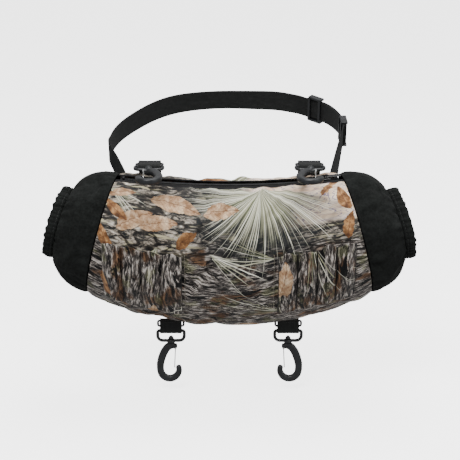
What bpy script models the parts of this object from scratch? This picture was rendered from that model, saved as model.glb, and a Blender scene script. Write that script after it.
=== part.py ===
"""A hand warmer muff for the field: a padded tube with fleece ends, worn on a waist belt.

The frame: +X to the wearer's left along the tube, +Y towards the wearer, +Z up. The
origin is the middle of the flat back that rests on the wearer, where the belt holds it.
"""

import math

import bmesh
import bpy
from mathutils import Matrix, Vector

# ---- driving dimensions, in metres ------------------------------------------------
GAP = 0.0003  # between pieces that touch

SEAM_X = 0.143  # centre of each end seam
CUFF_X = 0.187  # centre of the section where each cuff starts
CUFF_LENGTH = 0.012
CENTRE_Y = -0.052
HALF_HEIGHT = (0.084, 0.071, 0.039)  # at the middle, the seam and the cuff
HALF_DEPTH = (0.057, 0.053, 0.040)
SEAM_RISE = 0.023  # the tube's centre at the seam, above its centre at the middle
SLEEVE_TAPER = 1.35  # 1 is a quarter ellipse from seam to cuff, more is straighter
END_SLOPE = 0.26  # how the centre goes on rising past the seam
SEAM_LEAN = math.radians(14.5)  # the top of a section leans inwards
SEAM_YAW = math.radians(8)  # and its front turns outwards

SHELL = 0.0014  # printed shell fabric
FLEECE = 0.0018  # end panels and cuffs
BATTING_OUT = -0.0085
BATTING = 0.007
LINING_OUT = -0.0168
LINING = 0.0014

ZIP_ANGLE = math.radians(84)  # round the section: 0 is the front, 90 the top
ZIP_SLOT = math.radians(6.2)  # half the slot between the shells
ZIP_HALF_LENGTH = 0.122
ZIP_RADIUS = 1.000  # the zip sags in an arc
ZIP_DROP = 0.0030  # the tape's face below the shell's outer face
HEM_ANGLE = math.radians(-96)

POCKET_ANGLES = (math.radians(-38), math.radians(10))
POCKET_HALF_WIDTH = 0.051
LOOP_ANGLES = (math.radians(-44), math.radians(9))
LOOP_START_X = 0.0535
LOOP_PITCH = 0.0213
LOOPS = 4

WEBBING = 0.0254
WEBBING_THICK = 0.0012
BELT_REAR = 0.150  # how far the belt reaches behind the back
BELT_TILT = math.atan(0.24)
BELT_Z = 0.100  # height of the belt's centre over the back
BELT_LEFT_RADIUS = 0.140
BELT_REAR_RADIUS = 0.230
BELT_REAR_TURN = math.radians(22)
BELT_SIDE_RADIUS = 0.080
BELT_SIDE_TURN = math.radians(74)
BELT_SEWN_Q = {-1: -1.0, 1: 0.97}  # where each strap is sewn down, along the tube
BELT_SEWN_ANGLE = math.radians(146)
BELT_SEWN_OUT = 0.0024
BELT_SEWN_TWIST = 0.25
LAYER_STEP = 0.0008  # each belt layer's middle, off the belt's line
ADJUSTER_ANGLES = {"rear": math.radians(51), "side": math.radians(3)}

HOOK_X = 0.0685  # lower hooks
TOP_HOOK_X = 0.0905
FRAME_WIDTH = 0.0312  # swivel frame, between the middles of its side bars
FRAME_HEIGHT = 0.0125
FRAME_WIRE = 0.0017  # radius
LOWER_PIVOT = (-0.0475, -0.0985)  # y and z of the lower frames' top bars
UPPER_PIVOT = (-0.0440, 0.0990)

COLORS = {
    "print": ((0.30, 0.24, 0.17), 0.75, 0.0),
    "fleece": ((0.010, 0.012, 0.010), 0.95, 0.0),
    "lining": ((0.014, 0.014, 0.015), 0.95, 0.0),
    "batting": ((0.80, 0.80, 0.78), 0.95, 0.0),
    "webbing": ((0.013, 0.014, 0.014), 0.85, 0.0),
    "zip_black": ((0.012, 0.012, 0.013), 0.55, 0.0),
    "plastic": ((0.020, 0.021, 0.023), 0.38, 0.0),
    "steel": ((0.70, 0.70, 0.70), 0.25, 1.0),
    "elastic": ((0.03, 0.03, 0.03), 0.8, 0.0),
}


# ---- scene and helpers ------------------------------------------------------------
def clear_scene():
    for old in list(bpy.data.objects):
        bpy.data.objects.remove(old, do_unlink=True)


def new_collection(name):
    made = bpy.data.collections.new(name)
    bpy.context.scene.collection.children.link(made)
    return made


def material(name):
    found = bpy.data.materials.get(name)
    if found:
        return found
    color, roughness, metallic = COLORS[name]
    made = bpy.data.materials.new(name)
    made.use_nodes = True
    shader = made.node_tree.nodes["Principled BSDF"]
    shader.inputs["Base Color"].default_value = (*color, 1.0)
    shader.inputs["Roughness"].default_value = roughness
    shader.inputs["Metallic"].default_value = metallic
    return made


def add(name, mesh, slot, parent=None, smooth=True):
    """A named part with one material, in the muff's collection."""
    made = bpy.data.objects.new(name, mesh)
    MUFF.objects.link(made)
    mesh.materials.append(material(slot))
    if smooth:
        mesh.shade_smooth()
        mesh.set_sharp_from_angle(angle=math.radians(40))
    if parent:
        made.parent = parent
    return made


def mesh_from(bm, name):
    mesh = bpy.data.meshes.new(name)
    bm.to_mesh(mesh)
    bm.free()
    return mesh


def mapped_grid(name, across, along, point, side=1, closed=False, flip=False):
    """A grid over (0..1, 0..1) laid on a surface; side -1 mirrors it in X."""
    bm = bmesh.new()
    bmesh.ops.create_grid(bm, x_segments=across, y_segments=along, size=0.5)
    for v in bm.verts:
        p = point(v.co.x + 0.5, v.co.y + 0.5)
        v.co = (p[0] * side, p[1], p[2])
    if closed:
        bmesh.ops.remove_doubles(bm, verts=bm.verts, dist=0.00001)
    if (side < 0) != flip:
        bmesh.ops.reverse_faces(bm, faces=bm.faces)
    return mesh_from(bm, name)


def thicken(part, thickness):
    """Solidify away from the side that the faces look to."""
    made = part.modifiers.new("thickness", "SOLIDIFY")
    made.thickness = thickness
    made.offset = -1
    return part


def box_mesh(name, size, at=(0, 0, 0), bevel=0.0):
    bm = bmesh.new()
    bmesh.ops.create_cube(bm, size=1.0)
    bmesh.ops.scale(bm, vec=size, verts=bm.verts)
    if bevel:
        bmesh.ops.bevel(
            bm, geom=bm.edges[:], offset=bevel, segments=1, affect="EDGES", profile=0.5
        )
    bmesh.ops.translate(bm, vec=at, verts=bm.verts)
    return mesh_from(bm, name)


def cone_mesh(name, r1, r2, depth, at, sides=12):
    """A round piece along Z, r1 at its bottom and r2 at its top."""
    bm = bmesh.new()
    bmesh.ops.create_cone(
        bm, cap_ends=True, segments=sides, radius1=r1, radius2=r2, depth=depth
    )
    bmesh.ops.translate(bm, vec=at, verts=bm.verts)
    return mesh_from(bm, name)


def wire_mesh(name, points, radius, cyclic=False, sides=2, radii=None):
    """A round bar along points: a bevelled curve, made a closed mesh."""
    data = bpy.data.curves.new(name, "CURVE")
    data.dimensions = "3D"
    data.bevel_depth = radius
    data.bevel_resolution = sides
    data.use_fill_caps = not cyclic
    spline = data.splines.new("POLY")
    spline.points.add(len(points) - 1)
    for i, p in enumerate(points):
        spline.points[i].co = (*p, 1.0)
        spline.points[i].radius = radii[i] if radii else 1.0
    spline.use_cyclic_u = cyclic
    curve = bpy.data.objects.new(name + "_curve", data)
    bpy.context.scene.collection.objects.link(curve)
    graph = bpy.context.evaluated_depsgraph_get()
    mesh = bpy.data.meshes.new_from_object(curve.evaluated_get(graph))
    bpy.data.objects.remove(curve, do_unlink=True)
    bm = bmesh.new()
    bm.from_mesh(mesh)
    bmesh.ops.remove_doubles(bm, verts=bm.verts, dist=0.000005)
    bm.to_mesh(mesh)
    bm.free()
    mesh.name = name
    mesh.materials.clear()
    return mesh


def combine(part, mesh, operation):
    """Join another mesh to a part, or cut it out, with a Boolean."""
    tool = bpy.data.objects.new(f"{part.name}_{operation.lower()}_tool", mesh)
    CUTTERS.objects.link(tool)
    tool.parent = part.parent
    tool.hide_render = True
    tool.display_type = "WIRE"
    made = part.modifiers.new(operation.lower(), "BOOLEAN")
    made.operation = operation
    made.solver = "EXACT"
    made.object = tool


def empty(name, at, turn=(0, 0, 0)):
    made = bpy.data.objects.new(name, None)
    MUFF.objects.link(made)
    made.location = at
    made.rotation_euler = turn
    return made


def mix(a, b, f):
    return a + (b - a) * f


def ramp(f):
    """Smooth 0..1."""
    f = min(max(f, 0.0), 1.0)
    return f * f * (3 - 2 * f)


# ---- the tube's surface -----------------------------------------------------------
def section(q):
    """Centre x, centre z, half depth, half height, lean and yaw at tube coordinate q.

    q is 0 in the middle, 1 at the right seam, 2 where the cuff starts, 3 at its rim.
    """
    side = -1 if q < 0 else 1
    q = abs(q)
    body = min(q, 1.0)
    swell = body**2.2
    depth = mix(HALF_DEPTH[0], HALF_DEPTH[1], swell)
    height = mix(HALF_HEIGHT[0], HALF_HEIGHT[1], swell)
    x = SEAM_X * body
    z = SEAM_RISE * body**2
    if q > 1:
        turn = min(q - 1, 1.0) * math.pi / 2
        x = mix(SEAM_X, CUFF_X, math.sin(turn))
        narrow = math.cos(turn) ** SLEEVE_TAPER
        depth = mix(HALF_DEPTH[2], depth, narrow)
        height = mix(HALF_HEIGHT[2], height, narrow)
        x += max(q - 2, 0) * CUFF_LENGTH
        z += (x - SEAM_X) * END_SLOPE
    lean = SEAM_LEAN * body**1.5
    yaw = SEAM_YAW * body**1.5
    return side * x, z, depth, height, side * lean, side * yaw


def surface(q, angle, out=0.0):
    """The point at an angle round the section, out from the outer face."""
    x, z, depth, height, lean, yaw = section(q)
    forward = (depth + out) * math.cos(angle)
    up = (height + out) * math.sin(angle)
    y = CENTRE_Y - forward * math.cos(yaw)
    return Vector(
        (
            x + forward * math.sin(yaw) - up * math.sin(lean),
            min(y, out),
            z + up * math.cos(lean),
        )
    )


def q_at(x, angle):
    """The tube coordinate whose surface point at this angle has this x."""
    low, high = -2.0, 2.0
    for _ in range(40):
        q = (low + high) / 2
        if surface(q, angle)[0] < x:
            low = q
        else:
            high = q
    return (low + high) / 2


def shell_top(x, y):
    """Height of the outer face over a point of the top."""
    low, high = math.radians(60), math.radians(150)
    for _ in range(30):
        angle = (low + high) / 2
        if surface(q_at(x, angle), angle).y < y:
            low = angle
        else:
            high = angle
    return surface(q_at(x, angle), angle).z


# ---- the padded body --------------------------------------------------------------
SEAM_GAP = 0.004  # in tube coordinate, between a shell and an end panel


def shell_panel(name, start, end):
    """Printed shell between two angles, from seam to seam."""
    inner = 1 - SEAM_GAP

    def point(u, v):
        return surface(mix(-inner, inner, u), mix(start, end, v))

    return thicken(add(name, mapped_grid(name, 20, 10, point), "print"), SHELL)


def tube(name, reach, out, thickness, slot, across=14, around=16):
    """A closed tube inside the muff, reach in tube coordinate to each side."""

    def point(u, v):
        q = mix(-reach, reach, u)
        return surface(q, mix(-math.pi, math.pi, v), out(abs(q)))

    mesh = mapped_grid(name, across, around, point, closed=True)
    return thicken(add(name, mesh, slot), thickness)


def lining_out(q):
    return mix(LINING_OUT, -0.006, ramp((q - 1) / 0.6))


def end_panel(name, side):
    def point(u, v):
        return surface(mix(1 + SEAM_GAP, 2, u), mix(-math.pi, math.pi, v))

    mesh = mapped_grid(name, 6, 20, point, side, closed=True)
    return thicken(add(name, mesh, "fleece"), FLEECE)


CUFF_DEPTH = 0.0085
CUFF_PROFILE = (
    (0.06, -CUFF_DEPTH),
    (0.06, -0.001),
    (0.16, 0.0),
    (0.9, 0.0005),
    (1.0, -0.001),
    (1.0, -CUFF_DEPTH),
)


def cuff(name, side):
    """A channel of fleece, open to the inside, that holds the elastic."""
    last = len(CUFF_PROFILE) - 1

    def point(u, v):
        q, out = CUFF_PROFILE[round(u * last)]
        return surface(2 + q, mix(-math.pi, math.pi, v), out)

    mesh = mapped_grid(name, last, 20, point, side, closed=True)
    return thicken(add(name, mesh, "fleece"), FLEECE)


def cuff_elastic(name, side):
    def point(u, v):
        return surface(mix(2.28, 2.78, u), mix(-math.pi, math.pi, v), -0.0034)

    mesh = mapped_grid(name, 1, 20, point, side, closed=True)
    return thicken(add(name, mesh, "elastic"), 0.0015)


def hem_binding():
    """The folded strip that covers the bottom seam between the shells."""
    half_angle = math.radians(3.2)

    def point(u, v):
        q = mix(-0.94, 0.94, u)
        bulge = 0.0008 * math.sin(math.pi * v)
        return surface(q, HEM_ANGLE + mix(-half_angle, half_angle, v), 0.0014 + bulge)

    mesh = mapped_grid("hem_binding", 20, 2, point)
    return thicken(add("hem_binding", mesh, "fleece"), 0.0009)


# ---- pockets and loops on the front -----------------------------------------------
def raised_panel(name, x0, x1, angles, columns, rows, height, side=1):
    """A sewn-on panel over the front shell; height(u, v) lifts it off."""
    base = 0.0004 + SHELL

    def point(u, v):
        angle = mix(angles[0], angles[1], v)
        q = q_at(mix(x0, x1, u), angle)
        return surface(q, angle, base + height(u, v))

    mesh = mapped_grid(name, columns, rows, point, side)
    return thicken(add(name, mesh, "print"), SHELL)


def centre_pocket():
    def height(u, v):
        return 0.0085 * math.sin(math.pi * u) ** 0.5 * ramp(v / 0.75)

    half = POCKET_HALF_WIDTH
    return raised_panel("centre_pocket", -half, half, POCKET_ANGLES, 10, 6, height)


def shell_loops(name, side):
    """A band of elastic fabric sewn down between the loops."""

    def height(u, v):
        lift = mix(0.003, 0.011, ramp(v / 0.7))
        return lift * abs(math.sin(math.pi * LOOPS * u)) ** 0.7

    end = LOOP_START_X + LOOPS * LOOP_PITCH
    columns = LOOPS * 5
    return raised_panel(name, LOOP_START_X, end, LOOP_ANGLES, columns, 4, height, side)


# ---- the zip ----------------------------------------------------------------------
ZIP_SLOPE = 0.1475  # the zip's face falls to the front
ZIP_CROWN = 0.040  # radius of the tape across its width


def zip_base():
    """The zip's line in the middle of the muff, on the tape's face."""
    return surface(0, ZIP_ANGLE, -ZIP_DROP)


def zip_point(x, across, up=0.0):
    """A point of the zip: across is towards the wearer, up off the tape's face."""
    base = zip_base()
    fall = ZIP_RADIUS - math.sqrt(ZIP_RADIUS**2 - x * x)
    crown = across * across / (2 * ZIP_CROWN)
    return Vector((x, base.y + across, base.z + fall + ZIP_SLOPE * across - crown + up))


def zip_strip(name, slot, start, end, up, thickness, columns=20, length=ZIP_HALF_LENGTH):
    def point(u, v):
        return zip_point(mix(-length, length, u), mix(start, end, v), up)

    mesh = mapped_grid(name, columns, 2, point)
    return thicken(add(name, mesh, slot), thickness)


def zip_stop(name, side):
    """A metal stop clamped round the end of the coil."""
    at = zip_point(side * (ZIP_HALF_LENGTH - 0.0035), 0, 0.0022)
    mesh = box_mesh(name, (0.0024, 0.0056, 0.0026), at, bevel=0.0004)
    return add(name, mesh, "steel", smooth=False)


ZIP_SLIDER_X = 0.107


def zip_slider():
    """The slider: a plate with flanges over the coil, and a bridge for the pull."""
    at = zip_point(ZIP_SLIDER_X, 0)
    turn = -math.asin(ZIP_SLIDER_X / ZIP_RADIUS)
    holder = empty("zip_slider_place", at, (math.atan(ZIP_SLOPE), turn, 0))
    plate = box_mesh("zip_slider", (0.012, 0.0092, 0.0016), (0, 0, 0.0034), 0.0003)
    slider = add("zip_slider", plate, "steel", holder, smooth=False)
    for y in (-0.0040, 0.0040):
        flange = box_mesh("flange", (0.0112, 0.0010, 0.0030), (0, y, 0.0022))
        combine(slider, flange, "UNION")
    for x in (-0.0030, 0.0030):
        post = box_mesh("post", (0.0012, 0.0022, 0.0030), (x, 0, 0.0052))
        combine(slider, post, "UNION")
    bridge = box_mesh("bridge", (0.0072, 0.0022, 0.0010), (0, 0, 0.0071))
    combine(slider, bridge, "UNION")
    hinge = bpy.data.objects.new("zip_pull_axis", None)
    MUFF.objects.link(hinge)
    hinge.parent = holder
    hinge.location = (0, 0, 0.0054)
    return hinge


def zip_pull(hinge):
    """A flat pull whose ring goes round the slider's bridge; it lies along the zip."""
    body = box_mesh("zip_pull", (0.0182, 0.0056, 0.0009), (0.0085, 0, 0.0), 0.0002)
    pull = add("zip_pull", body, "zip_black", hinge, smooth=False)
    slot = box_mesh("slot", (0.0040, 0.0032, 0.0040), (0.0027, 0, 0))
    combine(pull, slot, "DIFFERENCE")
    return pull


def warmer_pocket():
    """The pouch under the zip: down behind the front shell and back up."""
    top = math.radians(70)
    bottom = math.radians(12)
    outs = (-0.0032, -0.0074)

    def point(u, v):
        q = mix(-0.74, 0.74, u)
        if v < 0.4:
            return surface(q, mix(top, bottom, v / 0.4), outs[0])
        if v > 0.6:
            return surface(q, mix(bottom, top, (v - 0.6) / 0.4), outs[1])
        return surface(q, bottom - math.radians(1.2), mix(outs[0], outs[1], (v - 0.4) / 0.2))

    mesh = mapped_grid("warmer_pocket", 12, 10, point, flip=True)
    return thicken(add("warmer_pocket", mesh, "lining"), 0.0008)


# ---- the belt ---------------------------------------------------------------------
def belt_matrix():
    """The belt's plane: its own y runs back, and rises."""
    return Matrix.Translation((0, 0, BELT_Z)) @ Matrix.Rotation(BELT_TILT, 4, "X")


def belt_side_centre():
    """The centre of the arc that both adjusters slide on, in the belt's plane."""
    turn = BELT_REAR_TURN
    x = (BELT_REAR_RADIUS - BELT_SIDE_RADIUS) * math.sin(turn)
    drop = BELT_REAR_RADIUS - (BELT_REAR_RADIUS - BELT_SIDE_RADIUS) * math.cos(turn)
    return Vector((x, BELT_REAR - drop, 0))


def arc_point(centre, radius, angle):
    return centre + Vector((math.cos(angle), math.sin(angle), 0)) * radius


def belt_right_arc(angle, layer):
    return arc_point(belt_side_centre(), BELT_SIDE_RADIUS + layer, angle)


def belt_rear_arc(angle, layer):
    centre = Vector((0, BELT_REAR - BELT_REAR_RADIUS, 0))
    return arc_point(centre, BELT_REAR_RADIUS + layer, angle)


def belt_left_arc(angle, layer):
    centre = Vector((0, BELT_REAR - BELT_LEFT_RADIUS, 0))
    return arc_point(centre, BELT_LEFT_RADIUS + layer, angle)


def spread(start, end, count):
    return [mix(start, end, i / (count - 1)) for i in range(count)]


def belt_end(side, start):
    """From the belt's plane to the sewn end on the muff: points and width directions.

    The strap goes into the seam on edge, so at its end its width runs round the tube.
    """
    place = belt_matrix()
    first = place @ start
    up = place.to_3x3() @ Vector((0, 0, 1))
    q = BELT_SEWN_Q[side]
    sewn = surface(q, BELT_SEWN_ANGLE, BELT_SEWN_OUT)
    normal = (surface(q, BELT_SEWN_ANGLE, 0.01) - surface(q, BELT_SEWN_ANGLE)).normalized()
    round_tube = (surface(q, BELT_SEWN_ANGLE - 0.05) - surface(q, BELT_SEWN_ANGLE)).normalized()
    width = (round_tube + Vector((-side * BELT_SEWN_TWIST, 0, 0))).normalized()
    above = sewn + normal * 0.010
    lift = first.lerp(above, 0.5) + Vector((0, 0, 0.002))
    points = [lift, above, sewn + normal * 0.004, sewn]
    widths = [up.lerp(width, 0.4).normalized(), up.lerp(width, 0.85).normalized(), width, width]
    return points, widths


def ribbon(name, points, widths):
    """A strap of webbing along points, its width along the given directions."""
    count = len(points) - 1
    half = WEBBING / 2

    def point(u, v):
        i = round(u * count)
        return points[i] + widths[i] * mix(-half, half, v)

    mesh = mapped_grid(name, count, 1, point)
    part = thicken(add(name, mesh, "webbing"), WEBBING_THICK)
    part.modifiers["thickness"].offset = 0
    return part


def belt_straps():
    place = belt_matrix()
    up = place.to_3x3() @ Vector((0, 0, 1))
    rear_turn = math.pi / 2 - BELT_REAR_TURN
    side_end = rear_turn - BELT_SIDE_TURN

    outer = LAYER_STEP
    flat = [belt_left_arc(a, 0) for a in spread(math.pi, math.pi / 2, 14)]
    flat += [belt_rear_arc(a, 0) for a in spread(math.pi / 2, rear_turn + 0.06, 7)[1:]]
    flat += [belt_right_arc(a, outer) for a in spread(rear_turn, -0.095, 14)]
    points = [place @ p for p in flat]
    end_points, end_widths = belt_end(-1, flat[0])
    points = end_points[::-1] + points
    widths = end_widths[::-1] + [up] * len(flat)
    ribbon("belt_long_strap", points, widths)

    inner = -LAYER_STEP
    start = ADJUSTER_ANGLES["rear"] + 0.16
    flat = [belt_right_arc(a, inner) for a in spread(start, side_end, 14)]
    points = [place @ p for p in flat]
    end_points, end_widths = belt_end(1, flat[-1])
    points = points + end_points
    widths = [up] * len(flat) + end_widths
    ribbon("belt_short_strap", points, widths)


ADJUSTER_HEIGHT = 0.0325
ADJUSTER_LENGTH = 0.019


def belt_adjuster(name, angle):
    """A three-bar slide: two bars inside the loop, one outside, joined at the ends."""
    centre = belt_right_arc(angle, 0)
    turn = belt_matrix() @ Matrix.Translation(centre) @ Matrix.Rotation(angle, 4, "Z")
    holder = empty(name + "_place", turn.translation, turn.to_euler())
    end_size = (0.0080, ADJUSTER_LENGTH, 0.0028)
    end_z = ADJUSTER_HEIGHT / 2 - 0.0014
    first = box_mesh(name, end_size, (0, 0, end_z), 0.0006)
    part = add(name, first, "plastic", holder, smooth=False)
    combine(part, box_mesh("end", end_size, (0, 0, -end_z), 0.0006), "UNION")
    inner_x = -0.0036
    outer_x = 0.0031
    bar_length = ADJUSTER_HEIGHT - 0.003
    for x, y in ((inner_x, -0.0076), (inner_x, 0.0076), (outer_x, 0)):
        bar = box_mesh("bar", (0.0020, 0.0032, bar_length), (x, y, 0))
        combine(part, bar, "UNION")
    return part


# ---- the swivel hooks -------------------------------------------------------------
TAB_GAP = FRAME_WIRE + GAP  # inside the webbing loop, from its middle to one layer
TAB_LENGTH = 0.0142  # from the frame's top bar to the seam


def tab_path(leg):
    """The tab's section, in (y, z) from the frame's top bar: down one side and up.

    With a leg, its sewn ends turn off sideways to reach the shell beneath.
    """
    radius = TAB_GAP
    end = TAB_LENGTH
    front = [(-radius, end), (-radius, end / 2)]
    bend = [
        (radius * math.cos(a), radius * math.sin(a))
        for a in spread(-math.pi, 0, 9)
    ]
    back = [(radius, end / 2), (radius, end)]
    if leg:
        front = [(leg, end + 0.0024), (leg / 2, end + 0.0024), (-radius + 0.0008, end + 0.0014)]
        front += [(-radius, end - 0.0020), (-radius, end / 2)]
        back = [(radius, end - 0.0048), (radius + 0.0014, end - 0.0022), (leg, end - 0.0012)]
    return front + bend + back


def hook_tab(name, holder, leg):
    """Webbing folded round the frame's bar and sewn into the muff."""
    path = tab_path(leg)
    count = len(path) - 1

    def point(u, v):
        y, z = path[round(u * count)]
        return Vector((mix(WEBBING / 2, -WEBBING / 2, v), y, z))

    mesh = mapped_grid(name, count, 1, point, flip=True)
    part = thicken(add(name, mesh, "webbing", holder), WEBBING_THICK)
    part.modifiers["thickness"].offset = 1
    return part


def rounded_rectangle(width, height, top_radius, low_radius, steps=3):
    """Points of a rounded rectangle in XZ, anticlockwise, centred on the origin."""
    points = []
    corners = ((1, 1, 0), (-1, 1, 90), (-1, -1, 180), (1, -1, 270))
    for sx, sz, start in corners:
        radius = top_radius if sz > 0 else low_radius
        cx = sx * (width / 2 - radius)
        cz = sz * (height / 2 - radius)
        for i in range(steps + 1):
            a = math.radians(start + 90 * i / steps)
            points.append((cx + radius * math.cos(a), 0, cz + radius * math.sin(a)))
    return points


RING_WIRE = 0.0013


def tab_ring(name, holder):
    """The rectangular ring inside the webbing loop, at the seam."""
    loop = rounded_rectangle(0.0300, 0.0064, 0.0020, 0.0020, 2)
    middle = TAB_LENGTH - 0.0050
    points = [(x, y, z + middle) for x, y, z in loop]
    mesh = wire_mesh(name, points, RING_WIRE, cyclic=True, sides=1)
    return add(name, mesh, "plastic", holder)


SWIVEL_DROP = FRAME_HEIGHT  # from the top bar's middle to the bottom bar's
POST_RADIUS = 0.0016


def swivel_frame(name, holder):
    """The D-shaped frame: its top bar in the webbing, its boss round the post."""
    loop = rounded_rectangle(FRAME_WIDTH, FRAME_HEIGHT, 0.0026, 0.0062, 3)
    points = [(x, y, z - FRAME_HEIGHT / 2) for x, y, z in loop]
    mesh = wire_mesh(name, points, FRAME_WIRE, cyclic=True, sides=1)
    part = add(name, mesh, "plastic", holder)
    boss = cone_mesh("boss", 0.0048, 0.0036, 0.0042, (0, 0, -SWIVEL_DROP))
    combine(part, boss, "UNION")
    hole = cone_mesh("hole", POST_RADIUS + 0.0004, POST_RADIUS + 0.0004, 0.01, (0, 0, -SWIVEL_DROP))
    combine(part, hole, "DIFFERENCE")
    return part


HOOK_TOP = -SWIVEL_DROP - 0.0040  # top of the hook's body
HOOK_PATH = (
    # x, z below HOOK_TOP and relative thickness
    (0.0002, -0.0016, 1.05),
    (-0.0044, -0.0046, 1.12),
    (-0.0080, -0.0110, 1.12),
    (-0.0107, -0.0190, 1.10),
    (-0.0119, -0.0270, 1.08),
    (-0.0106, -0.0346, 1.05),
    (-0.0062, -0.0392, 1.02),
    (-0.0004, -0.0402, 1.00),
    (0.0050, -0.0374, 0.98),
    (0.0078, -0.0326, 0.92),
    (0.0080, -0.0284, 0.84),
    (0.0068, -0.0252, 0.76),
)
HOOK_SCALE = 1.1
HOOK_BAR = 0.0032
GATE_PIVOT = (0.0050, -0.0050)  # x, and z below HOOK_TOP
GATE_WIRE = 0.0006


def smooth_path(path, parts):
    """More points on a smooth curve through the given ones (Catmull-Rom)."""
    made = []
    for i in range(len(path) - 1):
        p0 = path[max(i - 1, 0)]
        p1, p2 = path[i], path[i + 1]
        p3 = path[min(i + 2, len(path) - 1)]
        for k in range(parts):
            f = k / parts
            made.append(
                tuple(
                    0.5
                    * (
                        2 * b
                        + (c - a) * f
                        + (2 * a - 5 * b + 4 * c - d) * f * f
                        + (3 * b - a - 3 * c + d) * f**3
                    )
                    for a, b, c, d in zip(p0, p1, p2, p3)
                )
            )
    made.append(tuple(path[-1]))
    return made


def hook_body(name, holder, gate_side):
    """The open hook with its collar, post and post head, which turn in the frame."""
    path = smooth_path(HOOK_PATH, 2)
    points = [(x * HOOK_SCALE * gate_side, 0, z * HOOK_SCALE + HOOK_TOP) for x, z, _ in path]
    radii = [r for _, _, r in path]
    mesh = wire_mesh(name, points, HOOK_BAR, sides=2, radii=radii)
    part = add(name, mesh, "plastic", holder)
    collar = cone_mesh("collar", 0.0036, 0.0046, 0.0034, (0, 0, HOOK_TOP))
    combine(part, collar, "UNION")
    lobe_size = (0.0074, 0.0054, 0.0052)
    lobe = box_mesh("lobe", lobe_size, (0.0034 * gate_side, 0, HOOK_TOP - 0.0028), 0.0014)
    combine(part, lobe, "UNION")
    post = cone_mesh("post", POST_RADIUS, POST_RADIUS, 0.0072, (0, 0, -SWIVEL_DROP - 0.0002))
    combine(part, post, "UNION")
    head = cone_mesh("head", 0.0031, 0.0012, 0.0036, (0, 0, -SWIVEL_DROP + 0.0043))
    combine(part, head, "UNION")
    return part


def wire_gate(name, holder, gate_side):
    """A bent wire gate: two legs and an end that closes on the nose's inner side."""
    pivot = Vector((GATE_PIVOT[0] * gate_side, 0, HOOK_TOP + GATE_PIVOT[1] - 0.0012))
    tip = Vector((0.0038 * gate_side, 0, HOOK_TOP - 0.0295))
    legs = 0.0014
    shoulder = pivot.lerp(tip, 0.93)
    points = [
        pivot + Vector((0, -legs, 0)),
        shoulder + Vector((0, -legs, 0)),
        tip + Vector((0, -legs * 0.5, 0)),
        tip + Vector((0, legs * 0.5, 0)),
        shoulder + Vector((0, legs, 0)),
        pivot + Vector((0, legs, 0)),
    ]
    mesh = wire_mesh(name, points, GATE_WIRE, cyclic=True, sides=1)
    return add(name, mesh, "steel", holder)


def hook_set(place, x, pivot, turn, gate_side, leg=0):
    """Tab, ring, swivel frame, hook and gate; the frame's top bar is the origin."""
    holder = empty(place + "_hook_place", (x, *pivot), (turn, 0, 0))
    hook_tab(place + "_hook_tab", holder, leg)
    tab_ring(place + "_tab_ring", holder)
    swivel_frame(place + "_swivel_frame", holder)
    hook_body(place + "_snap_hook", holder, gate_side)
    wire_gate(place + "_wire_gate", holder, gate_side)


# ---- the whole muff ---------------------------------------------------------------
def build():
    shell_panel("front_shell", HEM_ANGLE + 0.006, ZIP_ANGLE - ZIP_SLOT)
    shell_panel("back_shell", ZIP_ANGLE + ZIP_SLOT, HEM_ANGLE + 2 * math.pi - 0.006)
    tube("insulation_batting", 0.985, lambda q: BATTING_OUT, BATTING, "batting")
    tube("fleece_lining", 1.6, lining_out, LINING, "lining", across=18)
    for name, side in (("left", -1), ("right", 1)):
        end_panel(name + "_end_panel", side)
        cuff(name + "_cuff", side)
        cuff_elastic(name + "_cuff_elastic", side)
        shell_loops(name + "_shell_loops", side)
        zip_stop(name + "_zip_stop", side)
    hem_binding()
    centre_pocket()

    zip_strip("zip_tape_front", "zip_black", -0.0085, -0.0002, 0, 0.0007)
    zip_strip("zip_tape_back", "zip_black", 0.0002, 0.0085, 0, 0.0007)
    zip_strip("zip_coil", "zip_black", -0.0026, 0.0026, 0.0020, 0.0017, 30, 0.114)
    zip_pull(zip_slider())
    warmer_pocket()

    belt_straps()
    for place, angle in ADJUSTER_ANGLES.items():
        belt_adjuster(place + "_belt_adjuster", angle)

    hook_set("lower_left", -HOOK_X, LOWER_PIVOT, 0, 1)
    hook_set("lower_right", HOOK_X, LOWER_PIVOT, 0, -1)
    forward = math.radians(-90)
    leg = UPPER_PIVOT[1] - shell_top(TOP_HOOK_X + WEBBING / 2, UPPER_PIVOT[0] + TAB_LENGTH) - 5 * GAP
    hook_set("upper_left", -TOP_HOOK_X, UPPER_PIVOT, forward, -1, leg)
    hook_set("upper_right", TOP_HOOK_X, UPPER_PIVOT, forward, 1, leg)


clear_scene()
MUFF = new_collection("hand_warmer_muff")
CUTTERS = new_collection("cutters")
build()
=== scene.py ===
"""The hand warmer muff's visual model: fabric, webbing and fittings on the CAD frame.

Metres, +Z up, +X along the tube. Soft pieces are laid on the same tube surface as the CAD
solids, with folds, gathers and stitches, and the moving fittings ride on their CAD bodies.
"""

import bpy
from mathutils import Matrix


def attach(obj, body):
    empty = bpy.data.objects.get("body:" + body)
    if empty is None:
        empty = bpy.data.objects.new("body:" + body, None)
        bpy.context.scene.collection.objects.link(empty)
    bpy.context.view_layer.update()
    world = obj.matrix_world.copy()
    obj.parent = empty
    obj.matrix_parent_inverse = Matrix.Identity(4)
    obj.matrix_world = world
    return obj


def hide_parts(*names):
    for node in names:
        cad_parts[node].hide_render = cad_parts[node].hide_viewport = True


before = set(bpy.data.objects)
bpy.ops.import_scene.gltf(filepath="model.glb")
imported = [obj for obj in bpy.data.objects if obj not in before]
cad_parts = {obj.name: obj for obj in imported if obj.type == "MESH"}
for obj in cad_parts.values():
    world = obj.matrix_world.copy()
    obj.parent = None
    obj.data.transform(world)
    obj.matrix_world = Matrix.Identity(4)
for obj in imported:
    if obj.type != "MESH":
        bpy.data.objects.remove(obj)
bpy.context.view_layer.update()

import math
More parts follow.
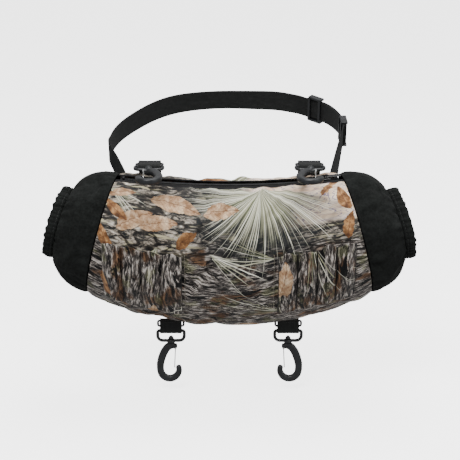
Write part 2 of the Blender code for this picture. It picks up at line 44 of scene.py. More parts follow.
from functools import partialmethod

import bmesh
import bpy
import numpy as np
from mathutils import Matrix, Vector

# ---- the tube's dimensions, as in the CAD --------------------------------------------
SEAM_X = 0.143
CUFF_X = 0.187
CUFF_LENGTH = 0.012
CENTRE_Y = -0.052
HALF_HEIGHT = (0.084, 0.071, 0.039)
HALF_DEPTH = (0.057, 0.053, 0.040)
SEAM_RISE = 0.023
SLEEVE_TAPER = 1.35
END_SLOPE = 0.26
SEAM_LEAN = math.radians(14.5)
SEAM_YAW = math.radians(8)
SHELL = 0.0014
ZIP_ANGLE = math.radians(84)
ZIP_SLOT = math.radians(6.2)
ZIP_HALF_LENGTH = 0.122
ZIP_RADIUS = 1.000
ZIP_DROP = 0.0030
ZIP_SLOPE = 0.1475
ZIP_CROWN = 0.040
HEM_ANGLE = math.radians(-96)
POCKET_ANGLES = (math.radians(-38), math.radians(10))
POCKET_HALF_WIDTH = 0.051
LOOP_ANGLES = (math.radians(-44), math.radians(9))
LOOP_START_X = 0.0535
LOOP_PITCH = 0.0213
LOOPS = 4
WEBBING = 0.0254
WEBBING_THICK = 0.0012
BELT_REAR = 0.150
BELT_TILT = math.atan(0.24)
BELT_Z = 0.100
BELT_LEFT_RADIUS = 0.140
BELT_REAR_RADIUS = 0.230
BELT_REAR_TURN = math.radians(22)
BELT_SIDE_RADIUS = 0.080
BELT_SIDE_TURN = math.radians(74)
BELT_SEWN_Q = {-1: -1.0, 1: 0.97}
BELT_SEWN_ANGLE = math.radians(146)
BELT_SEWN_OUT = 0.0024
BELT_SEWN_TWIST = 0.25
LAYER_STEP = 0.0008
ADJUSTER_ANGLES = {"rear": math.radians(51), "side": math.radians(3)}


# ---- maths ---------------------------------------------------------------------------
def mix(a, b, f):
    """From a to b as f goes from 0 to 1."""
    return a + (b - a) * f


def ease(f):
    """Smooth 0..1."""
    f = np.clip(f, 0.0, 1.0)
    return f * f * (3 - 2 * f)


def waves(x, seed, count=5, low=1.0, high=3.0):
    """A smooth irregular wave in -1..1, made of sines with seeded pitch and phase."""
    rng = np.random.default_rng(seed)
    total = 0.0
    for _ in range(count):
        total = total + np.sin(x * rng.uniform(low, high) + rng.uniform(0, 6.28))
    return total / count**0.5 / 1.4


def ring_waves(angle, seed, low, high):
    """As waves, with whole numbers of waves round a closed ring."""
    rng = np.random.default_rng(seed)
    total = 0.0
    numbers = rng.integers(low, high + 1, 5)
    for number in numbers:
        total = total + np.sin(angle * number + rng.uniform(0, 6.28))
    return total / 5**0.5 / 1.4


def section(q):
    """The tube's section at q: 0 middle, 1 seam, 2 cuff start, 3 cuff rim."""
    side = np.where(q < 0, -1.0, 1.0)
    q = np.abs(q)
    body = np.minimum(q, 1.0)
    turn = np.clip(q - 1, 0, 1) * math.pi / 2
    narrow = np.where(q > 1, np.abs(np.cos(turn)) ** SLEEVE_TAPER, 1.0)
    swell = body**2.2
    depth = mix(HALF_DEPTH[0], HALF_DEPTH[1], swell)
    height = mix(HALF_HEIGHT[0], HALF_HEIGHT[1], swell)
    depth = mix(HALF_DEPTH[2], depth, narrow)
    height = mix(HALF_HEIGHT[2], height, narrow)
    x = np.where(q > 1, mix(SEAM_X, CUFF_X, np.sin(turn)), SEAM_X * body)
    x = x + np.maximum(q - 2, 0) * CUFF_LENGTH
    z = SEAM_RISE * body**2 + np.maximum(x - SEAM_X, 0) * END_SLOPE
    lean = side * SEAM_LEAN * body**1.5
    yaw = side * SEAM_YAW * body**1.5
    return side * x, z, depth, height, lean, yaw


def surface(q, angle, out=0.0):
    """Points at angles round the section, out from the shell's outer face."""
    q, angle, out = np.broadcast_arrays(
        np.asarray(q, float), np.asarray(angle, float), np.asarray(out, float)
    )
    x, z, depth, height, lean, yaw = section(q)
    forward = (depth + out) * np.cos(angle)
    up = (height + out) * np.sin(angle)
    y = CENTRE_Y - forward * np.cos(yaw)
    px = x + forward * np.sin(yaw) - up * np.sin(lean)
    return np.stack([px, np.minimum(y, out), z + up * np.cos(lean)], axis=-1)


def pair(u, v):
    """Two arrays as one array of (u, v)."""
    return np.stack(np.broadcast_arrays(u, v), axis=-1)


def q_at(x, angle):
    """The tube coordinate whose surface point at this angle has this x."""
    x, angle = np.broadcast_arrays(np.asarray(x, float), np.asarray(angle, float))
    low = np.full(x.shape, -2.0)
    high = np.full(x.shape, 2.0)
    for _ in range(34):
        middle = (low + high) / 2
        less = surface(middle, angle)[..., 0] < x
        low = np.where(less, middle, low)
        high = np.where(less, high, middle)
    return (low + high) / 2


def at_x(x, angle, out=0.0):
    """As surface, but at a place along X."""
    return surface(q_at(x, angle), angle, out)


ARC_ANGLES = np.linspace(-math.pi * 1.2, math.pi * 1.8, 1200)
ARC_STEPS = np.hypot(
    HALF_DEPTH[0] * np.sin(ARC_ANGLES), HALF_HEIGHT[0] * np.cos(ARC_ANGLES)
) * (ARC_ANGLES[1] - ARC_ANGLES[0])
ARC_LENGTHS = np.cumsum(ARC_STEPS)
ARC_LENGTHS -= np.interp(0, ARC_ANGLES, ARC_LENGTHS)


def arc(angle):
    """Length round the middle section from its front, in metres."""
    return np.interp(angle, ARC_ANGLES, ARC_LENGTHS)


# ---- mesh helpers --------------------------------------------------------------------
def mesh_object(name, points, faces, material, uvs=None):
    """A smooth piece from points and faces; uvs is one pair for each point."""
    mesh = bpy.data.meshes.new(name)
    mesh.from_pydata([tuple(p) for p in points], [], faces)
    if uvs is not None:
        layer = mesh.uv_layers.new(name="cloth")
        corners = np.empty(len(mesh.loops), dtype=np.int64)
        mesh.loops.foreach_get("vertex_index", corners)
        layer.data.foreach_set("uv", np.asarray(uvs, float)[corners].ravel())
    mesh.update()
    mesh.shade_smooth()
    return add_object(name, mesh, material)


def grid_faces(rows, columns, loop_rows=False, loop_columns=False, flip=False):
    """Quads of a rows x columns grid of points, optionally closed either way."""
    faces = []
    for i in range(rows if loop_rows else rows - 1):
        for j in range(columns if loop_columns else columns - 1):
            a = i * columns + j
            b = i * columns + (j + 1) % columns
            c = ((i + 1) % rows) * columns + (j + 1) % columns
            d = ((i + 1) % rows) * columns + j
            faces.append((a, d, c, b) if flip else (a, b, c, d))
    return faces


def sheet_object(name, points, uvs, material, loop_columns=False, flip=False):
    """A fabric surface from a rows x columns array of points."""
    rows, columns = points.shape[:2]
    faces = grid_faces(rows, columns, False, loop_columns, not flip)
    return mesh_object(name, points.reshape(-1, 3), faces, material, uvs.reshape(-1, 2))


def face_outward(piece):
    """Turns a closed mesh's faces to point out."""
    bm = bmesh.new()
    bm.from_mesh(piece.data)
    bmesh.ops.recalc_face_normals(bm, faces=bm.faces)
    bm.to_mesh(piece.data)
    bm.free()
    piece.data.update()
    return piece


def thicken(piece, thickness, offset=-1.0, smooth_levels=0):
    """Gives a surface its cloth thickness, and smooths it if asked."""
    made = piece.modifiers.new("thickness", "SOLIDIFY")
    made.thickness = thickness
    made.offset = offset
    if smooth_levels:
        soft = piece.modifiers.new("soft", "SUBSURF")
        soft.levels = smooth_levels
        soft.render_levels = smooth_levels
    return piece


def curve_tube(name, points, radius, material, sides=12, closed=False):
    """A smooth tube along points."""
    points = np.asarray(points, float)
    count = len(points)
    if closed:
        tangents = np.roll(points, -1, 0) - np.roll(points, 1, 0)
    else:
        tangents = np.gradient(points, axis=0)
    tangents /= np.linalg.norm(tangents, axis=1)[:, None]
    rings = []
    for i in range(count):
        t = Vector(tangents[i])
        n = Vector((0, 1, 0))
        n = (n - t * n.dot(t)).normalized()
        b = t.cross(n)
        for k in range(sides):
            a = 2 * math.pi * k / sides
            offset = (n * math.cos(a) + b * math.sin(a)) * radius
            rings.append(points[i] + np.array(offset))
    faces = grid_faces(count, sides, closed, True, flip=True)
    if not closed:
        faces.append(tuple(range(sides)))
        faces.append(tuple(reversed(range((count - 1) * sides, count * sides))))
    return face_outward(mesh_object(name, rings, faces, material))


def smooth_line(points, parts):
    """A Catmull-Rom curve through points, as an array."""
    points = np.asarray(points, float)
    padded = np.vstack([2 * points[0] - points[1], points, 2 * points[-1] - points[-2]])
    made = []
    for i in range(len(points) - 1):
        a, b, c, d = padded[i : i + 4]
        for k in range(parts):
            f = k / parts
            made.append(
                0.5
                * (
                    2 * b
                    + (c - a) * f
                    + (2 * a - 5 * b + 4 * c - d) * f * f
                    + (3 * b - a - 3 * c + d) * f**3
                )
            )
    made.append(points[-1])
    return np.array(made)


def place_mesh(piece, matrix):
    """Bakes a matrix into a piece's mesh, so its object stays at the origin."""
    piece.data.transform(matrix)
    piece.data.update()
    return piece


def join(name, parts):
    """One mesh object from several, each of which keeps its material."""
    bm = bmesh.new()
    materials = []
    graph = bpy.context.evaluated_depsgraph_get()
    for part in parts:
        mesh = bpy.data.meshes.new_from_object(part.evaluated_get(graph))
        mesh.transform(part.matrix_world)
        slot = part.data.materials[0]
        if slot not in materials:
            materials.append(slot)
        for polygon in mesh.polygons:
            polygon.material_index = materials.index(slot)
        bm.from_mesh(mesh)
        bpy.data.meshes.remove(mesh)
    made_mesh = bpy.data.meshes.new(name)
    bm.to_mesh(made_mesh)
    bm.free()
    for slot in materials:
        made_mesh.materials.append(slot)
    made = bpy.data.objects.new(name, made_mesh)
    bpy.context.scene.collection.objects.link(made)
    for part in parts:
        bpy.data.objects.remove(part, do_unlink=True)
    return made


def inflate(piece, pinned, pressure, grow, rise, dip, frames=20):
    """Cloth simulation: the fabric swells between its seams and buckles beside them.

    pinned tells which vertices are sewn down. No point moves out by more than rise or
    in by more than dip.
    """
    scene = bpy.context.scene
    count = len(piece.data.vertices)
    rest = np.empty(count * 3)
    piece.data.vertices.foreach_get("co", rest)
    rest = rest.reshape(-1, 3)
    normals = np.array([v.normal[:] for v in piece.data.vertices])
    group = piece.vertex_groups.new(name="sewn")
    group.add([int(i) for i in np.nonzero(pinned)[0]], 1.0, "REPLACE")
    cloth = piece.modifiers.new("cloth", "CLOTH")
    cloth.settings.quality = 6
    cloth.settings.mass = 0.25
    cloth.settings.tension_stiffness = 12
    cloth.settings.compression_stiffness = 12
    cloth.settings.shear_stiffness = 4
    cloth.settings.bending_stiffness = 0.05
    cloth.settings.vertex_group_mass = "sewn"
    cloth.settings.use_pressure = True
    cloth.settings.uniform_pressure_force = pressure
    cloth.settings.shrink_min = -grow
    cloth.settings.effector_weights.gravity = 0.0
    cloth.collision_settings.use_collision = False
    for number in range(1, frames + 1):
        scene.frame_set(number)
    graph = bpy.context.evaluated_depsgraph_get()
    soft = piece.evaluated_get(graph).data
    moved = np.empty(count * 3)
    soft.vertices.foreach_get("co", moved)
    moved = moved.reshape(-1, 3)
    shift = np.nan_to_num(moved - rest)
    outward = np.clip((shift * normals).sum(1), -dip, rise)
    sideways = shift - (shift * normals).sum(1)[:, None] * normals
    length = np.maximum(np.linalg.norm(sideways, axis=1), 1e-9)
    sideways *= (np.minimum(length, 0.002) / length)[:, None]
    result = rest + normals * outward[:, None] + sideways
    result[pinned] = rest[pinned]
    piece.modifiers.remove(cloth)
    scene.frame_set(1)
    piece.data.vertices.foreach_set("co", result.ravel())
    piece.data.update()


def add_object(name, mesh, material):
    """A new piece from a mesh, in the scene."""
    made = bpy.data.objects.new(name, mesh)
    bpy.context.scene.collection.objects.link(made)
    mesh.materials.append(material)
    return made


def stands_for(piece, node, body="root"):
    """Tells the frame which node a piece replaces and what it rides on."""
    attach(piece, body)
    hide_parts(node)


# ---- materials -----------------------------------------------------------------------
def srgb(r, g, b):
    """A linear colour from 0..255 display values."""
    return tuple(
        (v / 255 / 12.92) if v < 11 else ((v / 255 + 0.055) / 1.055) ** 2.4 for v in (r, g, b)
    ) + (1.0,)


def ink(r, g, b, depth=1.12):
    """A printed colour, a little deeper than it looks under soft light."""
    return tuple(v**depth for v in srgb(r, g, b)[:3]) + (1.0,)


class Shader:
    """Short calls that add and link shader nodes in one tree."""

    def __init__(self, tree):
        self.tree = tree

    def set(self, name, value):
        """A socket of the material's Principled shader."""
        self.put(self.tree.nodes["Principled BSDF"].inputs[name], value)

    def coordinates(self, kind):
        """UV coordinates of the cloth in metres, or object coordinates."""
        if kind == "UV":
            node = self.tree.nodes.new("ShaderNodeUVMap")
            node.uv_map = "cloth"
            return node.outputs[0]
        return self.tree.nodes.new("ShaderNodeTexCoord").outputs["Object"]

    def group(self, tree, *values):
        node = self.tree.nodes.new("ShaderNodeGroup")
        node.node_tree = tree
        for socket, value in zip(node.inputs, values):
            self.put(socket, value)
        return node.outputs

    def put(self, socket, value):
        if isinstance(value, bpy.types.NodeSocket):
            self.tree.links.new(value, socket)
        else:
            socket.default_value = value

    def math(self, operation, *values, clamp=False):
        node = self.tree.nodes.new("ShaderNodeMath")
        node.operation = operation
        node.use_clamp = clamp
        for socket, value in zip(node.inputs, values):
            self.put(socket, value)
        return node.outputs[0]

    add = partialmethod(math, "ADD")
    sub = partialmethod(math, "SUBTRACT")
    mul = partialmethod(math, "MULTIPLY")
    div = partialmethod(math, "DIVIDE")
    mul_add = partialmethod(math, "MULTIPLY_ADD")
    sin = partialmethod(math, "SINE")
    cos = partialmethod(math, "COSINE")
    abs = partialmethod(math, "ABSOLUTE")

    def step(self, value, low, high):
        """Smooth 0..1 as value goes from low to high."""
        node = self.tree.nodes.new("ShaderNodeMapRange")
        node.interpolation_type = "SMOOTHSTEP"
        self.put(node.inputs["Value"], value)
        self.put(node.inputs["From Min"], low)
        self.put(node.inputs["From Max"], high)
        return node.outputs["Result"]

    def vector(self, x, y, z=0.0):
        node = self.tree.nodes.new("ShaderNodeCombineXYZ")
        for socket, value in zip(node.inputs, (x, y, z)):
            self.put(socket, value)
        return node.outputs[0]

    def split(self, vector):
        node = self.tree.nodes.new("ShaderNodeSeparateXYZ")
        self.put(node.inputs[0], vector)
        return node.outputs

    def noise(self, vector, scale, detail=3.0, rough=0.55, bend=0.0, turn=0.0, shift=(0, 0, 0)):
        place = self.tree.nodes.new("ShaderNodeMapping")
        self.put(place.inputs["Vector"], vector)
        place.inputs["Scale"].default_value = scale
        place.inputs["Rotation"].default_value = (0, 0, turn)
        place.inputs["Location"].default_value = shift
        node = self.tree.nodes.new("ShaderNodeTexNoise")
        self.put(node.inputs["Vector"], place.outputs[0])
        node.inputs["Scale"].default_value = 1.0
        node.inputs["Detail"].default_value = detail
        node.inputs["Roughness"].default_value = rough
        node.inputs["Distortion"].default_value = bend
        return node.outputs["Fac"]

    def random(self, value):
        node = self.tree.nodes.new("ShaderNodeTexWhiteNoise")
        node.noise_dimensions = "1D"
        self.put(node.inputs["W"], value)
        return node.outputs["Value"]

    def colors(self, value, stops):
        node = self.tree.nodes.new("ShaderNodeValToRGB")
        ramp = node.color_ramp
        while len(ramp.elements) < len(stops):
            ramp.elements.new(0.5)
        for element, (at, color) in zip(ramp.elements, stops):
            element.position = at
            element.color = color
        self.put(node.inputs["Fac"], value)
        return node.outputs["Color"]

    def inks(self, value, stops):
        """As colors, with stops of a place and a printed colour."""
        return self.colors(value, [(at, ink(*color)) for at, *color in stops])

    def blend(self, factor, first, second, kind="MIX"):
        node = self.tree.nodes.new("ShaderNodeMix")
        node.data_type = "RGBA"
        node.blend_type = kind
        self.put(node.inputs[0], factor)
        self.put(node.inputs[6], first)
        self.put(node.inputs[7], second)
        return node.outputs[2]

    def bump(self, height, distance, strength=1.0, normal=None):
        node = self.tree.nodes.new("ShaderNodeBump")
        node.inputs["Distance"].default_value = distance
        node.inputs["Strength"].default_value = strength
        self.put(node.inputs["Height"], height)
        if normal is not None:
            self.put(node.inputs["Normal"], normal)
        return node.outputs[0]


def new_material(name):
    """A material and the Shader that builds its nodes."""
    made = bpy.data.materials.new(name)
    made.use_nodes = True
    return made, Shader(made.node_tree)


def node_group(name, given, made):
    """A new node group of numbers: its Shader, its inputs and its outputs."""
    tree = bpy.data.node_groups.new(name, "ShaderNodeTree")
    for in_out, names in (("INPUT", given), ("OUTPUT", made)):
        for socket in names:
            tree.interface.new_socket(socket, in_out=in_out, socket_type="NodeSocketFloat")
    inputs = tree.nodes.new("NodeGroupInput").outputs
    return Shader(tree), inputs, tree.nodes.new("NodeGroupOutput").inputs


def leaf_group():
    """A node group: one leaf's mask and veins at a place on the cloth."""
    names = ("u", "v", "x", "s", "turn", "length", "width")
    s, given, result = node_group("leaf_shape", names, ("mask", "vein", "side"))
    du = s.sub(given[0], given[2])
    dv = s.sub(given[1], given[3])
    cos = s.cos(given[4])
    sin = s.sin(given[4])
    along = s.mul_add(du, cos, s.mul(dv, sin))
    across = s.sub(s.mul(dv, cos), s.mul(du, sin))
    t = s.add(s.div(along, given[5]), 0.5, clamp=True)
    bow = s.mul(s.mul(t, s.sub(1.0, t)), 4.0)
    across = s.sub(across, s.mul(bow, s.mul(given[6], 0.16)))
    shape = s.mul(s.math("POWER", bow, 0.85), s.sub(1.25, s.mul(t, 0.5)))
    half = s.mul(shape, s.mul(given[6], 0.5))
    off = s.abs(across)
    s.put(result["mask"], s.step(s.sub(half, off), 0.0, 0.0005))
    middle = s.step(off, 0.0008, 0.0002)
    rib = s.sin(s.mul(s.sub(along, s.mul(off, 0.9)), 1300.0))
    s.put(result["vein"], s.math("MAXIMUM", middle, s.mul(s.step(rib, 0.72, 1.0), 0.55)))
    s.put(result["side"], s.step(across, -0.0015, 0.0015))
    return s.tree


def fan_group():
    """A node group: dry blades that spread from one point in straight narrow strips."""
    names = ("u", "v", "x", "s", "turn", "spread", "reach", "count", "blade", "seed")
    s, given, result = node_group("blade_fan", names, ("mask", "tone", "shade"))
    du = s.sub(given[0], given[2])
    dv = s.sub(given[1], given[3])
    cos = s.cos(given[4])
    sin = s.sin(given[4])
    along = s.mul_add(du, cos, s.mul(dv, sin))
    across = s.sub(s.mul(dv, cos), s.mul(du, sin))
    radius = s.math("SQRT", s.mul_add(along, along, s.mul(across, across)))
    angle = s.math("ARCTAN2", across, along)
    angle = s.add(angle, s.mul(radius, 1.6))
    place = s.mul(s.div(angle, 2 * math.pi), given[7])
    number = s.math("FLOOR", place)
    seed = s.add(number, given[9])
    chance = s.random(seed)
    other = s.random(s.add(seed, 0.37))
    offset = s.sub(s.sub(place, number), s.mul_add(other, 0.5, 0.25))
    off = s.abs(s.div(s.mul(offset, s.mul(radius, 2 * math.pi)), given[7]))
    tip = s.mul(given[6], s.mul_add(chance, 0.55, 0.45))
    taper = s.step(radius, tip, s.mul(tip, 0.55))
    half = s.mul(given[8], s.mul(taper, s.mul_add(other, 0.6, 0.5)))
    strip = s.step(s.sub(half, off), 0.0, 0.00022)
    inside = s.step(s.abs(angle), given[5], s.mul(given[5], 0.92))
    s.put(result["mask"], s.mul(strip, inside))
    s.put(result["tone"], chance)
    shade = s.step(radius, given[6], s.mul(given[6], 0.30))
    s.put(result["shade"], s.mul(shade, inside))
    return s.tree


def print_material():
    """Generic woodland print on woven fabric: bark, sand, dry blades and fallen leaves."""
    made, s = new_material("woodland_print")
    cloth = s.coordinates("UV")
    u0, v0, _ = s.split(cloth)
    # the design repeats by mirroring past its edges
    u = s.sub(s.math("PINGPONG", s.add(u0, 0.160), 0.320), 0.160)
    v = s.sub(s.math("PINGPONG", s.add(v0, 0.120), 0.230), 0.120)
    flat = s.vector(u, v)

    # bark: long dark cracks and pale ridges that run along the muff
    drift = s.noise(flat, (9, 22, 1), 2.0)
    bent = s.vector(u, s.mul_add(drift, 0.026, v))
    grain = s.noise(bent, (66, 400, 1), 9.0, 0.78, 0.3)
    bark = s.inks(
        grain,
        (
            (0.40, 14, 14, 14),
            (0.46, 46, 43, 42),
            (0.51, 100, 94, 90),
            (0.55, 170, 162, 156),
            (0.62, 230, 224, 216),
        ),
    )
    tint = s.noise(flat, (22, 44, 1), 4.0, shift=(3, 1, 0))
    brown = s.inks(grain, ((0.38, 34, 25, 18), (0.50, 92, 70, 54), (0.62, 162, 128, 98)))
    bark = s.blend(s.step(tint, 0.52, 0.62), bark, brown)
    moss = s.noise(flat, (30, 60, 1), 5.0, shift=(7, 5, 0))
    green = s.inks(grain, ((0.38, 36, 38, 28), (0.50, 104, 106, 76), (0.64, 186, 186, 146)))
    bark = s.blend(s.mul(s.step(moss, 0.55, 0.63), 0.55), bark, green)
    crack = s.noise(bent, (30, 150, 1), 8.0, 0.72, 0.6, shift=(1, 9, 0))
    color = s.blend(s.step(crack, 0.455, 0.425), bark, ink(14, 15, 17))

    # undergrowth above the bark: slate shadows, sticks and straw
    scrub_noise = s.noise(flat, (70, 190, 1), 9.0, 0.78, 0.5, turn=0.35)
    scrub = s.inks(
        scrub_noise,
        (
            (0.40, 20, 23, 27),
            (0.46, 60, 62, 62),
            (0.51, 126, 118, 108),
            (0.56, 186, 176, 162),
            (0.63, 232, 226, 216),
        ),
    )
    sticks = s.noise(flat, (22, 240, 1), 4.0, 0.6, 0.4, turn=0.75)
    scrub = s.blend(s.step(sticks, 0.57, 0.62), scrub, ink(196, 188, 158))
    edge = s.mul_add(s.sub(drift, 0.5), 0.10, v)
    color = s.blend(s.step(edge, 0.012, 0.030), color, scrub)

    # sandy ground with thin violet-grey lines, at the upper right
    ripple = s.noise(flat, (16, 46, 1), 3.0, 0.5, 1.6, turn=-0.25)
    line = s.mul_add(ripple, 0.075, s.mul_add(u, 0.25, v))
    line = s.abs(s.sin(s.mul(line, 430.0)))
    sand = s.inks(ripple, ((0.35, 222, 194, 168), (0.50, 242, 226, 204), (0.66, 232, 216, 206)))
    sand = s.blend(s.mul(s.step(line, 0.42, 0.10), 0.9), sand, ink(128, 118, 150))
    sand_x = s.step(s.mul_add(drift, 0.06, u), 0.040, 0.054)
    sand_v = s.step(s.sub(v, s.mul(drift, 0.03)), 0.022, 0.030)
    sand_mask = s.mul(sand_x, sand_v)
    color = s.blend(sand_mask, color, sand)

    # thin dark branches
    branches = ((0.5, 15.0, 0.026), (-0.35, 19.0, 0.022), (1.25, 13.0, 0.018))
    for number, (turn, scale, low) in enumerate(branches):
        shift = (number * 4.1, 2, 0)
        field = s.noise(flat, (scale, scale * 2.6, 1), 2.0, 0.4, turn=turn, shift=shift)
        thin = s.abs(s.sub(field, 0.5))
        twig = s.mul(s.step(thin, low, low * 0.45), s.step(v, -0.01, 0.02))
        twig = s.mul(twig, s.sub(1.0, s.mul(sand_mask, 0.8)))
        color = s.blend(s.mul(twig, 0.85), color, ink(34, 31, 30))

    # fans of dry blades
    fans = fan_group()
    straw = (ink(92, 97, 74), ink(174, 173, 146), ink(238, 236, 222))
    plan = (
        # x, s, turn, spread, reach, count, blade, seed
        (0.028, 0.093, 2.75, 0.50, 0.090, 170, 0.00050, 31),
        (0.030, 0.086, -2.65, 0.70, 0.110, 210, 0.00050, 93),
        (0.036, 0.090, -1.05, 0.95, 0.122, 230, 0.00055, 57),
        (0.034, 0.088, -1.75, 1.10, 0.102, 260, 0.00058, 11),
        (0.050, 0.010, 3.05, 0.32, 0.094, 70, 0.00060, 71),
        (-0.022, 0.016, -0.50, 0.34, 0.084, 60, 0.00060, 73),
        (-0.132, 0.082, -0.50, 0.55, 0.058, 110, 0.00050, 23),
        (-0.080, 0.018, -1.95, 0.50, 0.062, 90, 0.00065, 41),
        (0.122, 0.004, -2.20, 0.60, 0.070, 56, 0.00060, 83),
        (0.056, -0.060, 2.95, 0.40, 0.096, 60, 0.00060, 19),
    )
    for number, values in enumerate(plan):
        fan = s.group(fans, u, v, *values)
        dim = 0.85 if number < 4 else 0.12
        color = s.blend(s.mul(fan["shade"], dim), color, ink(40, 44, 46))
        blade = s.colors(fan["tone"], ((0.05, straw[0]), (0.5, straw[1]), (0.95, straw[2])))
        color = s.blend(fan["mask"], color, blade)

    # fallen leaves, with veins and a darker half
    leaves = leaf_group()
    wobble = s.noise(flat, (170, 170, 1), 3.0, 0.6, shift=(2, 8, 0))
    leaf_u = s.mul_add(s.sub(wobble, 0.5), 0.0060, u)
    leaf_v = s.mul_add(s.sub(wobble, 0.5), -0.0050, v)
    mottle = s.noise(flat, (120, 120, 1), 4.0, 0.6)
    tans = s.inks(mottle, ((0.36, 156, 122, 92), (0.5, 194, 162, 130), (0.64, 226, 202, 172)))
    rusts = s.inks(mottle, ((0.36, 98, 68, 44), (0.5, 150, 110, 74), (0.64, 200, 158, 112)))
    plan = (
        # x, s, turn, length, width, rust
        (-0.104, 0.0440, 0.55, 0.046, 0.019, 0),
        (-0.124, 0.0560, 2.35, 0.034, 0.013, 1),
        (-0.118, 0.0760, 0.20, 0.032, 0.011, 0),
        (-0.078, 0.0430, 0.20, 0.044, 0.018, 0),
        (-0.060, 0.0665, -0.25, 0.058, 0.021, 0),
        (-0.009, 0.0605, 0.15, 0.040, 0.019, 0),
        (-0.047, 0.0290, 0.75, 0.030, 0.014, 1),
        (-0.136, 0.0180, 1.90, 0.036, 0.013, 1),
        (-0.133, -0.0300, 1.20, 0.034, 0.013, 1),
        (0.127, 0.0690, 1.95, 0.034, 0.015, 1),
        (0.133, 0.0350, 1.45, 0.034, 0.013, 1),
        (0.112, 0.0870, 0.85, 0.036, 0.008, 1),
        (0.076, -0.0180, 1.10, 0.024, 0.011, 0),
        (-0.100, -0.0480, 0.30, 0.034, 0.014, 0),
        (0.103, -0.0420, 2.30, 0.032, 0.013, 1),
        (-0.020, 0.1010, 0.10, 0.040, 0.011, 1),
        (0.020, -0.0930, 0.20, 0.044, 0.019, 0),
        (-0.066, -0.0980, 2.80, 0.046, 0.019, 1),
        (0.086, -0.1010, 0.60, 0.046, 0.019, 0),
    )
    for x, at, turn, length, width, rust in plan:
        leaf = s.group(leaves, leaf_u, leaf_v, x, at, turn, length, width)
        tone = rusts if rust else tans
        dark = s.blend(0.5, tone, ink(70, 46, 34), "MULTIPLY")
        tone = s.blend(s.mul(leaf["side"], 0.35), tone, dark)
        tone = s.blend(s.mul(leaf["vein"], 0.7), tone, ink(104, 68, 50))
        color = s.blend(leaf["mask"], color, tone)

    # ink that varies a little, then the weave
    speck = s.noise(flat, (900, 900, 1), 2.0)
    speckle = s.inks(speck, ((0.3, 110, 110, 110), (0.7, 255, 255, 255)))
    color = s.blend(0.18, color, speckle, "MULTIPLY")
    s.set("Base Color", color)
    warp = s.sin(s.mul(u0, 2 * math.pi / 0.00055))
    weft = s.sin(s.mul(v0, 2 * math.pi / 0.00055))
    weave = s.mul(warp, weft)
    crease = s.noise(cloth, (60, 60, 1), 4.0, 0.6, 0.6)
    first = s.bump(crease, 0.0012, 0.45)
    s.set("Normal", s.bump(weave, 0.00008, 0.5, first))
    s.set("Roughness", s.step(speck, -0.9, 1.9))
    s.set("Sheen Weight", 0.03)
    s.set("Specular IOR Level", 0.14)
    return made


def fleece_material(name, dark, light, pile=0.0006):
    """Brushed fleece: short dense pile, rubbed lighter in places."""
    made, s = new_material(name)
    at = s.coordinates("OBJECT")
    pile_noise = s.noise(at, (1400, 1400, 1400), 3.0, 0.7)
    patch = s.noise(at, (55, 55, 55), 4.0, 0.6, 0.5)
    fuzz = s.noise(at, (420, 420, 420), 4.0, 0.75)
    amount = s.mul_add(patch, 0.45, s.mul(fuzz, 0.55))
    s.set("Base Color", s.colors(amount, ((0.36, dark), (0.66, light))))
    height = s.mul_add(fuzz, 0.8, s.mul(pile_noise, 0.5))
    first = s.bump(patch, 0.002, 0.35)
    s.set("Normal", s.bump(height, pile, 0.9, first))
    s.set("Roughness", s.step(fuzz, -2.0, 0.9))
    s.set("Sheen Weight", 0.02)
    s.set("Sheen Roughness", 0.5)
    s.set("Specular IOR Level", 0.06)
    return made


def webbing_material(name, dark, light, pitch=0.0011):
    """Flat woven webbing: ribs along the strap, crossed by the weft, on its UV in metres."""
    made, s = new_material(name)
    cloth = s.coordinates("UV")
    u, v, _ = s.split(cloth)
    rows = s.sin(s.mul(u, 2 * math.pi / pitch))
    ribs = s.sin(s.mul(v, 2 * math.pi / (pitch * 1.45)))
    twill = s.sin(s.mul(s.add(u, v), 2 * math.pi / (pitch * 1.8)))
    height = s.mul_add(rows, 0.35, s.mul_add(ribs, 0.4, s.mul(twill, 0.3)))
    wear = s.noise(cloth, (90, 260, 1), 4.0, 0.6)
    fibre = s.noise(cloth, (2600, 700, 1), 2.0, 0.6)
    amount = s.mul_add(height, 0.10, s.mul_add(wear, 0.6, s.mul(fibre, 0.35)))
    s.set("Base Color", s.colors(amount, ((0.25, dark), (0.75, light))))
    s.set("Normal", s.bump(height, 0.00022, 0.8))
    s.set("Roughness", s.step(wear, -1.4, 1.3))
    s.set("Sheen Weight", 0.02)
    s.set("Specular IOR Level", 0.16)
    return made


def plastic_material(name, dark, light, low=0.28, high=0.48):
    """Moulded acetal: fine grain, faint flow marks and edges rubbed a little lighter."""
    made, s = new_material(name)
    at = s.coordinates("OBJECT")
    grain = s.noise(at, (1900, 1900, 1900), 3.0, 0.6)
    flow = s.noise(at, (160, 160, 90), 3.0, 0.5, 0.8)
    wear = s.noise(at, (620, 620, 620), 4.0, 0.65)
    scuff = s.step(wear, 0.60, 0.74)
    base = s.colors(flow, ((0.3, dark), (0.7, light)))
    s.set("Base Color", s.blend(s.mul(scuff, 0.22), base, srgb(80, 82, 86)))
    rough = s.mul_add(flow, high - low, low)
    s.set("Roughness", s.mul_add(scuff, 0.12, rough))
    first = s.bump(flow, 0.0004, 0.25)
    s.set("Normal", s.bump(grain, 0.00006, 0.5, first))
    s.set("Specular IOR Level", 0.40)
    return made


